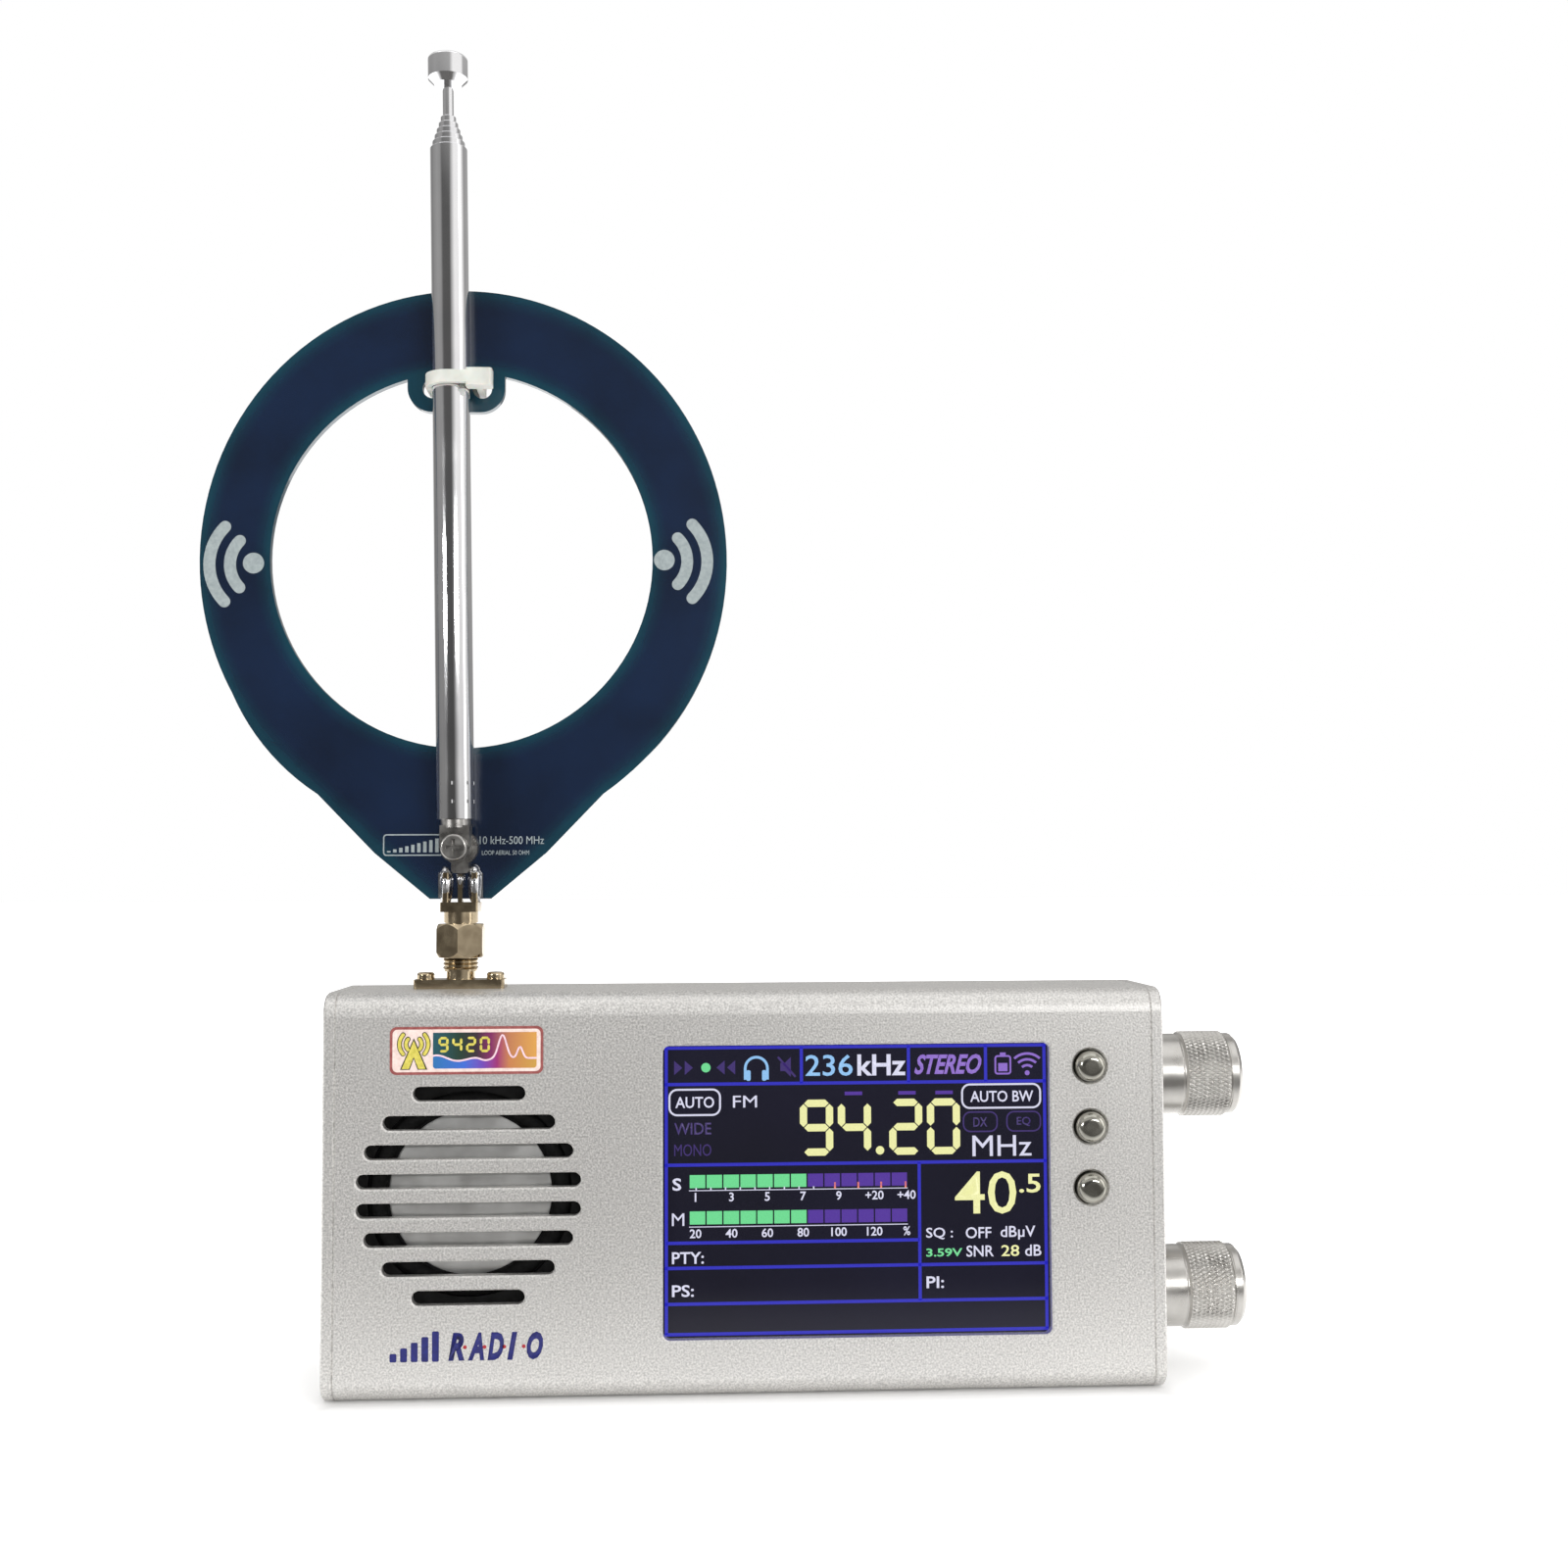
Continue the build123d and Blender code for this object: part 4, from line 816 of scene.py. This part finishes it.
def add_case_print():
    """Blue marking below the grille: a bar symbol and the word RADIO, with small red dots."""
    left, top = -60.1 * MM, 12.9 * MM
    ink = Artwork(left, top, front_y)
    for k in range(5):
        x = 0.3 + 1.75 * k
        ink.rounded(x, 4.5 - 0.9 * k, x + 1.15, 5.9, 0.25)
    for k, letter in enumerate("RADIO"):
        x = 10.0 + 3.25 * k
        ink.text(letter, x, 1.2, x + (2.7 if letter != "I" else 1.7), 5.8, 0.055, 0.25)
    blue = printed("case_ink_blue", (0.004, 0.005, 0.10), (0.008, 0.011, 0.17), 0.4)
    ink.finish("case_print", blue, "case", "black_plastic", 0.02)
    dots = Artwork(left, top, front_y)
    for k in range(4):
        dots.disc(12.75 + 3.25 * k, 3.6, 0.32, 16)
    red = printed("case_ink_red", (0.32, 0.01, 0.02), (0.45, 0.02, 0.03), 0.4)
    dots.finish("case_print_dots", red, "case", "black_plastic", 0.02)


# ---------------------------------------------------------------- silkscreen on the loop board
def add_silkscreen():
    """Radio waves on both flanks, and the band and a bar scale beside the pivot."""
    ink = Artwork(opening_x, opening_z, board_front_y)
    # the left group sits a little lower and nearer the rim than the right one
    for side, facing, dot_x, down in ((-1, 180, 36.7, 1.0), (1, 0, 35.9, 0.1)):
        ink.disc(side * dot_x, down, 1.85, 32)
        for radius, spread in ((6.0, 44), (9.6, 44)):
            ink.capped_arc(side * (dot_x - 1.9), down + 0.2, radius, 2.1, facing - spread, facing + spread)
    ink.text("10 kHz-500 MHz", 3.3, 49.5, 14.6, 50.9)
    ink.text("LOOP AERIAL 50 OHM", 3.7, 52.0, 12.0, 52.8)
    # plain bar scale on the other side of the whip
    ink.frame(-13.5, 49.2, -3.2, 52.8, 0.5, 0.22)
    for k in range(9):
        ink.bar(-12.9 + 1.05 * k, 52.3 - 0.27 * (k + 1), -12.3 + 1.05 * k, 52.3)
    pale = printed("silkscreen", (0.21, 0.245, 0.25), (0.28, 0.32, 0.325), 0.45)
    ink.finish("silkscreen", pale, "aerial", "loop_board", 0.02)


# ---------------------------------------------------------------- knobs
KNURL_DEPTH = 0.2 * MM


def join_rings(mesh, rings):
    """Quads between each ring of vertices and the next."""
    for lower, upper in zip(rings, rings[1:]):
        for k in range(len(lower)):
            after = (k + 1) % len(lower)
            mesh.faces.new((lower[k], lower[after], upper[after], upper[k]))


def lathe_rows(rows, steps, axis_point):
    """Closed mesh from rows of (x, radius or function of angle), turned about an X axis."""
    mesh = bmesh.new()
    rings = []
    for x, radius in rows:
        ring = []
        for k in range(steps):
            angle = 2 * pi * k / steps
            r = radius(angle) if callable(radius) else radius
            place = axis_point + Vector((0, r * cos(angle), r * sin(angle)))
            place.x = x
            ring.append(mesh.verts.new(place))
        rings.append(ring)
    join_rings(mesh, rings)
    mesh.faces.new(list(reversed(rings[0])))
    mesh.faces.new(rings[-1])
    bmesh.ops.recalc_face_normals(mesh, faces=mesh.faces)
    return mesh


def knurl_radius(x, start, radius):
    """Diamond knurl: two crossed families of grooves, 60 round the knob."""
    around, pitch = 60, 0.8 * MM

    def ridge(turns):
        return 1 - abs(2 * (turns % 1.0) - 1)

    def at(angle):
        along = (x - start) / pitch / 2
        round_turns = angle / (2 * pi) * around
        height = min(ridge(round_turns + along), ridge(round_turns - along))
        return radius - KNURL_DEPTH * (1 - min(1.0, 1.5 * height))

    return at


def add_knob(use, finish):
    low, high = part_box(f"{use}_knob")
    axis = Vector((0, (low.y + high.y) / 2, (low.z + high.z) / 2))
    radius = (high.z - low.z) / 2
    collar = 7.1 * MM
    start, end = low.x, high.x
    grip_start, grip_end = end - 10.2 * MM, end - 2.0 * MM
    bevel = 0.35 * MM
    # hollow in the back, in two steps, with the mesh closed just off the axis
    wide_radius, wide_depth = 6.05 * MM, 2.0 * MM
    narrow_radius, narrow_depth = 3.9 * MM, 3.9 * MM
    closing_radius = 0.3 * MM
    rows = [
        (start + narrow_depth, closing_radius),
        (start + narrow_depth, narrow_radius),
        (start + wide_depth, narrow_radius),
        (start + wide_depth, wide_radius),
        (start, wide_radius),
        (start, collar - 0.25 * MM),
        (start + 0.08 * MM, collar - 0.08 * MM),
        (start + 0.25 * MM, collar),
        (grip_start - 0.45 * MM, collar),
        (grip_start - 0.15 * MM, collar - 0.1 * MM),
        (grip_start, collar - 0.1 * MM),
        (grip_start, radius - bevel - KNURL_DEPTH),
        (grip_start + bevel, radius - KNURL_DEPTH),
    ]
    row_count = 62
    first, last = grip_start + bevel, grip_end - bevel
    for k in range(row_count + 1):
        x = first + (last - first) * k / row_count
        rows.append((x, knurl_radius(x, first, radius)))
    rows += [
        (grip_end - bevel, radius - KNURL_DEPTH),
        (grip_end, radius - bevel - KNURL_DEPTH),
        (grip_end, collar - 0.1 * MM),
        (grip_end + 0.15 * MM, collar - 0.1 * MM),
        (grip_end + 0.3 * MM, collar),
        (end - 0.8 * MM, collar),
        (end - 0.66 * MM, collar - 0.05 * MM),
        (end - 0.05 * MM, collar - 0.66 * MM),
        (end, collar - 0.8 * MM),
        (end, 2.2 * MM),
        (end - 0.05 * MM, 2.1 * MM),
        (end - 0.05 * MM, closing_radius),
    ]
    steps_round = 360
    shape = lathe_rows(rows, steps_round, axis)
    mesh = bpy.data.meshes.new(f"{use}_knob_metal")
    shape.to_mesh(mesh)
    shape.free()
    piece = make_object(f"{use}_knob_metal", mesh, finish, f"{use}_knob")
    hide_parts(f"{use}_knob")


def turned_metal():
    """Lathe-turned nickel-coloured metal: fine rings about the knob's axis."""
    material, shader, tree = new_material("turned_metal")
    x, _, _ = axes_of(tree, "Object")
    rings = tree.nodes.new("ShaderNodeTexNoise")
    rings.noise_dimensions = "1D"
    rings.inputs["Scale"].default_value = 9000
    tree.links.new(x, rings.inputs["W"])
    wear = object_noise(tree, 240, 3.0)
    metal = ramp_between(tree, wear, (0.47, 0.455, 0.43), (0.58, 0.565, 0.54))
    tree.links.new(metal, shader.inputs["Base Color"])
    shader.inputs["Metallic"].default_value = 1.0
    tree.links.new(range_between(tree, wear, 0.24, 0.36), shader.inputs["Roughness"])
    add_bump(tree, shader, rings.outputs["Fac"], 0.006 * MM, 0.8)
    return material


# ---------------------------------------------------------------- solder on the aerial plug
def blob(mesh, centre, reach, squareness=1.0):
    """Drop of solder on the board's front: a dome that flares where it wets the copper."""
    steps, levels = 28, 12
    rings = []
    for level in range(levels):
        height = level / levels
        share = (1 - height**2.2) ** 0.5 + 0.30 * exp(-7 * height)
        ring = []
        for k in range(steps):
            angle = 2 * pi * k / steps
            wobble = 1 + 0.05 * sin(3 * angle + 2 * centre.x / MM) + 0.03 * sin(5 * angle)
            across = abs(cos(angle)) ** squareness * (1 if cos(angle) > 0 else -1)
            upward = abs(sin(angle)) ** squareness * (1 if sin(angle) > 0 else -1)
            offset = Vector((across * share * reach[0], -height * reach[1], upward * share * reach[2]))
            offset.x *= wobble
            offset.z *= wobble
            ring.append(mesh.verts.new(centre + offset * MM))
        rings.append(ring)
    top = mesh.verts.new(centre + Vector((0, -reach[1], 0)) * MM)
    join_rings(mesh, rings)
    for k in range(steps):
        mesh.faces.new((rings[-1][k], rings[-1][(k + 1) % steps], top))
    mesh.faces.new(list(reversed(rings[0])))


def add_solder(finish):
    """Solder over the two front legs, the centre pin and the foot of the whip lug."""
    plug_low, plug_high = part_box("aerial_plug")
    lug_low, lug_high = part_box("whip_lug")
    axis_x = (plug_low.x + plug_high.x) / 2
    legs_top = plug_high.z
    drops = bmesh.new()
    for side in (-1, 1):
        x = axis_x + side * 2.54 * MM
        blob(drops, Vector((x, board_front_y, legs_top - 2.3 * MM)), (0.95, 1.28, 2.5), 0.8)
        blob(drops, Vector((x + side * 0.3 * MM, board_front_y, legs_top - 0.4 * MM)), (0.7, 0.9, 0.75))
    blob(drops, Vector((axis_x, board_front_y, legs_top - 1.3 * MM)), (0.62, 0.95, 1.4))
    blob(drops, Vector((lug_high.x - 0.9 * MM, board_front_y, lug_low.z + 0.5 * MM)), (0.9, 1.3, 0.85))
    bmesh.ops.recalc_face_normals(drops, faces=drops.faces)
    for face in drops.faces:
        face.smooth = True
    mesh = bpy.data.meshes.new("solder_joints")
    drops.to_mesh(mesh)
    drops.free()
    make_object("solder_joints", mesh, finish, "aerial")
    pads = Artwork(axis_x, legs_top, board_front_y)
    for side in (-1, 1):
        near, far = side * 1.5, side * 3.9
        pads.bar(min(near, far), 0.1, max(near, far), 4.4)
    pads.finish("tinned_pads", finish, "aerial", "steel", 0.03)


# ---------------------------------------------------------------- finishes on the CAD nodes
def assign(finish, *names):
    for name in names:
        data = nodes[name].data
        data.materials.clear()
        data.materials.append(finish)


def dress_frame():
    aluminium = blasted_aluminium()
    assign(aluminium, "extruded_shell", "left_end_plate", "right_end_plate")
    steel = finish_material(
        "nickel_steel", (0.50, 0.50, 0.51), (0.62, 0.62, 0.63),
        metallic=1.0, rough=(0.22, 0.36), grain=700, bump=0.004 * MM,
    )
    assign(steel, "end_plate_screws", "encoder_nuts", "encoder_washers", "usb_socket", "tuner_shield")
    for use in ("tuning", "volume"):
        assign(steel, f"{use}_encoder_bushing", f"{use}_shaft", f"{use}_grub_screw")
    dull = finish_material(
        "dull_nickel", (0.30, 0.29, 0.28), (0.46, 0.45, 0.43),
        metallic=1.0, rough=(0.24, 0.38), grain=500, bump=0.006 * MM,
    )
    assign(dull, "whip_knuckle", "whip_lug", "pivot_screw")
    chrome = finish_material(
        "whip_chrome", (0.74, 0.74, 0.76), (0.80, 0.80, 0.81),
        metallic=1.0, rough=(0.045, 0.09), grain=120, bump=0,
    )
    sleeves = [f"whip_section_{k}" for k in range(1, 7)]
    assign(chrome, *sleeves, "whip_rod", "whip_cap")
    polished = finish_material(
        "button_chrome", (0.34, 0.33, 0.29), (0.46, 0.45, 0.40),
        metallic=1.0, rough=(0.10, 0.20), grain=400, bump=0,
    )
    assign(polished, "button_1", "button_2", "button_3")
    gold = finish_material(
        "gold_plate", (0.44, 0.35, 0.23), (0.57, 0.47, 0.32),
        metallic=1.0, rough=(0.12, 0.22), grain=500, bump=0.003 * MM,
    )
    assign(gold, "aerial_socket", "socket_contact", "socket_screws")
    assign(gold, "coupling_nut", "aerial_plug", "plug_pin")
    assign(nylon(), "cable_tie")
    assign(loop_mask(), "loop_board")
    assign(display_glass(), "touch_glass")
    black = finish_material(
        "black_moulding", (0.010, 0.010, 0.011), (0.020, 0.020, 0.021),
        metallic=0.0, rough=(0.35, 0.5), grain=900, bump=0.008 * MM,
    )
    assign(black, "tact_switches", "tuning_encoder_body", "volume_encoder_body", "headphone_socket")
    assign(black, "power_switch_body", "power_switch_lever", "tuning_push_slider", "volume_push_slider")
    rubber = finish_material(
        "speaker_rubber", (0.004, 0.004, 0.004), (0.008, 0.008, 0.008),
        metallic=0.0, rough=(0.6, 0.75), grain=1200, bump=0.01 * MM, specular=0.05,
    )
    assign(rubber, "speaker_surround")
    basket = finish_material(
        "speaker_frame", (0.004, 0.004, 0.004), (0.008, 0.008, 0.008),
        metallic=0.0, rough=(0.5, 0.65), grain=800, bump=0.01 * MM, specular=0.05,
    )
    assign(basket, "speaker_basket", "speaker_magnet")
    cone = finish_material(
        "speaker_cone", (0.56, 0.56, 0.55), (0.68, 0.68, 0.67),
        metallic=0.9, rough=(0.32, 0.42), grain=260, bump=0.006 * MM,
    )
    assign(cone, "speaker_cone")
    ptfe = finish_material(
        "ptfe", (0.82, 0.82, 0.80), (0.90, 0.90, 0.88),
        metallic=0.0, rough=(0.4, 0.5), grain=500, bump=0,
    )
    assign(ptfe, "socket_insulator")
    board = finish_material(
        "green_mask", (0.006, 0.06, 0.02), (0.012, 0.10, 0.04),
        metallic=0.0, rough=(0.2, 0.3), grain=400, bump=0.004 * MM, coat=0.5,
    )
    assign(board, "main_pcb")
    can = finish_material(
        "module_black", (0.02, 0.02, 0.022), (0.04, 0.04, 0.044),
        metallic=0.1, rough=(0.4, 0.5), grain=500, bump=0.006 * MM,
    )
    assign(can, "processor_module")
    pouch = finish_material(
        "cell_pouch", (0.45, 0.47, 0.50), (0.58, 0.60, 0.64),
        metallic=0.6, rough=(0.3, 0.5), grain=90, bump=0.05 * MM,
    )
    assign(pouch, "battery")
    panel = finish_material(
        "panel_frame", (0.36, 0.36, 0.38), (0.48, 0.48, 0.50),
        metallic=1.0, rough=(0.3, 0.4), grain=600, bump=0.004 * MM,
    )
    assign(panel, "lcd_panel")
    film = finish_material(
        "ribbon_film", (0.45, 0.22, 0.04), (0.60, 0.32, 0.07),
        metallic=0.0, rough=(0.2, 0.3), grain=300, bump=0, coat=0.4,
    )
    assign(film, "lcd_ribbon")
    sleeve = finish_material(
        "lead_sleeve", (0.10, 0.02, 0.015), (0.16, 0.03, 0.02),
        metallic=0.0, rough=(0.35, 0.5), grain=700, bump=0.004 * MM,
    )
    assign(sleeve, "coax_pigtail", "speaker_leads", "battery_leads")


# ---------------------------------------------------------------- build the scene
scene.view_settings.view_transform = "Standard"
add_camera()
add_world()
add_floor()
add_area_light("overhead", (0.0, -0.15, 0.95), (0, 0, 0.05), (1.3, 0.9), 3.2)
add_area_light("upper_right", (0.45, -1.0, 0.33), (0, 0, 0.06), (0.4, 0.08), 2.6)
add_area_light("upper_left", (-0.92, -0.9, 0.33), (0, 0, 0.06), (0.4, 0.08), 3.8)
add_area_light("side", (0.95, -0.30, 0.25), (0, 0, 0.08), (0.25, 0.8), 1.1)
dress_frame()
add_display()
add_label()
add_case_print()
add_silkscreen()
turned = turned_metal()
for use in ("tuning", "volume"):
    add_knob(use, turned)
solder = finish_material(
    "solder", (0.62, 0.62, 0.63), (0.74, 0.74, 0.75),
    metallic=1.0, rough=(0.12, 0.25), grain=900, bump=0.004 * MM,
)
add_solder(solder)
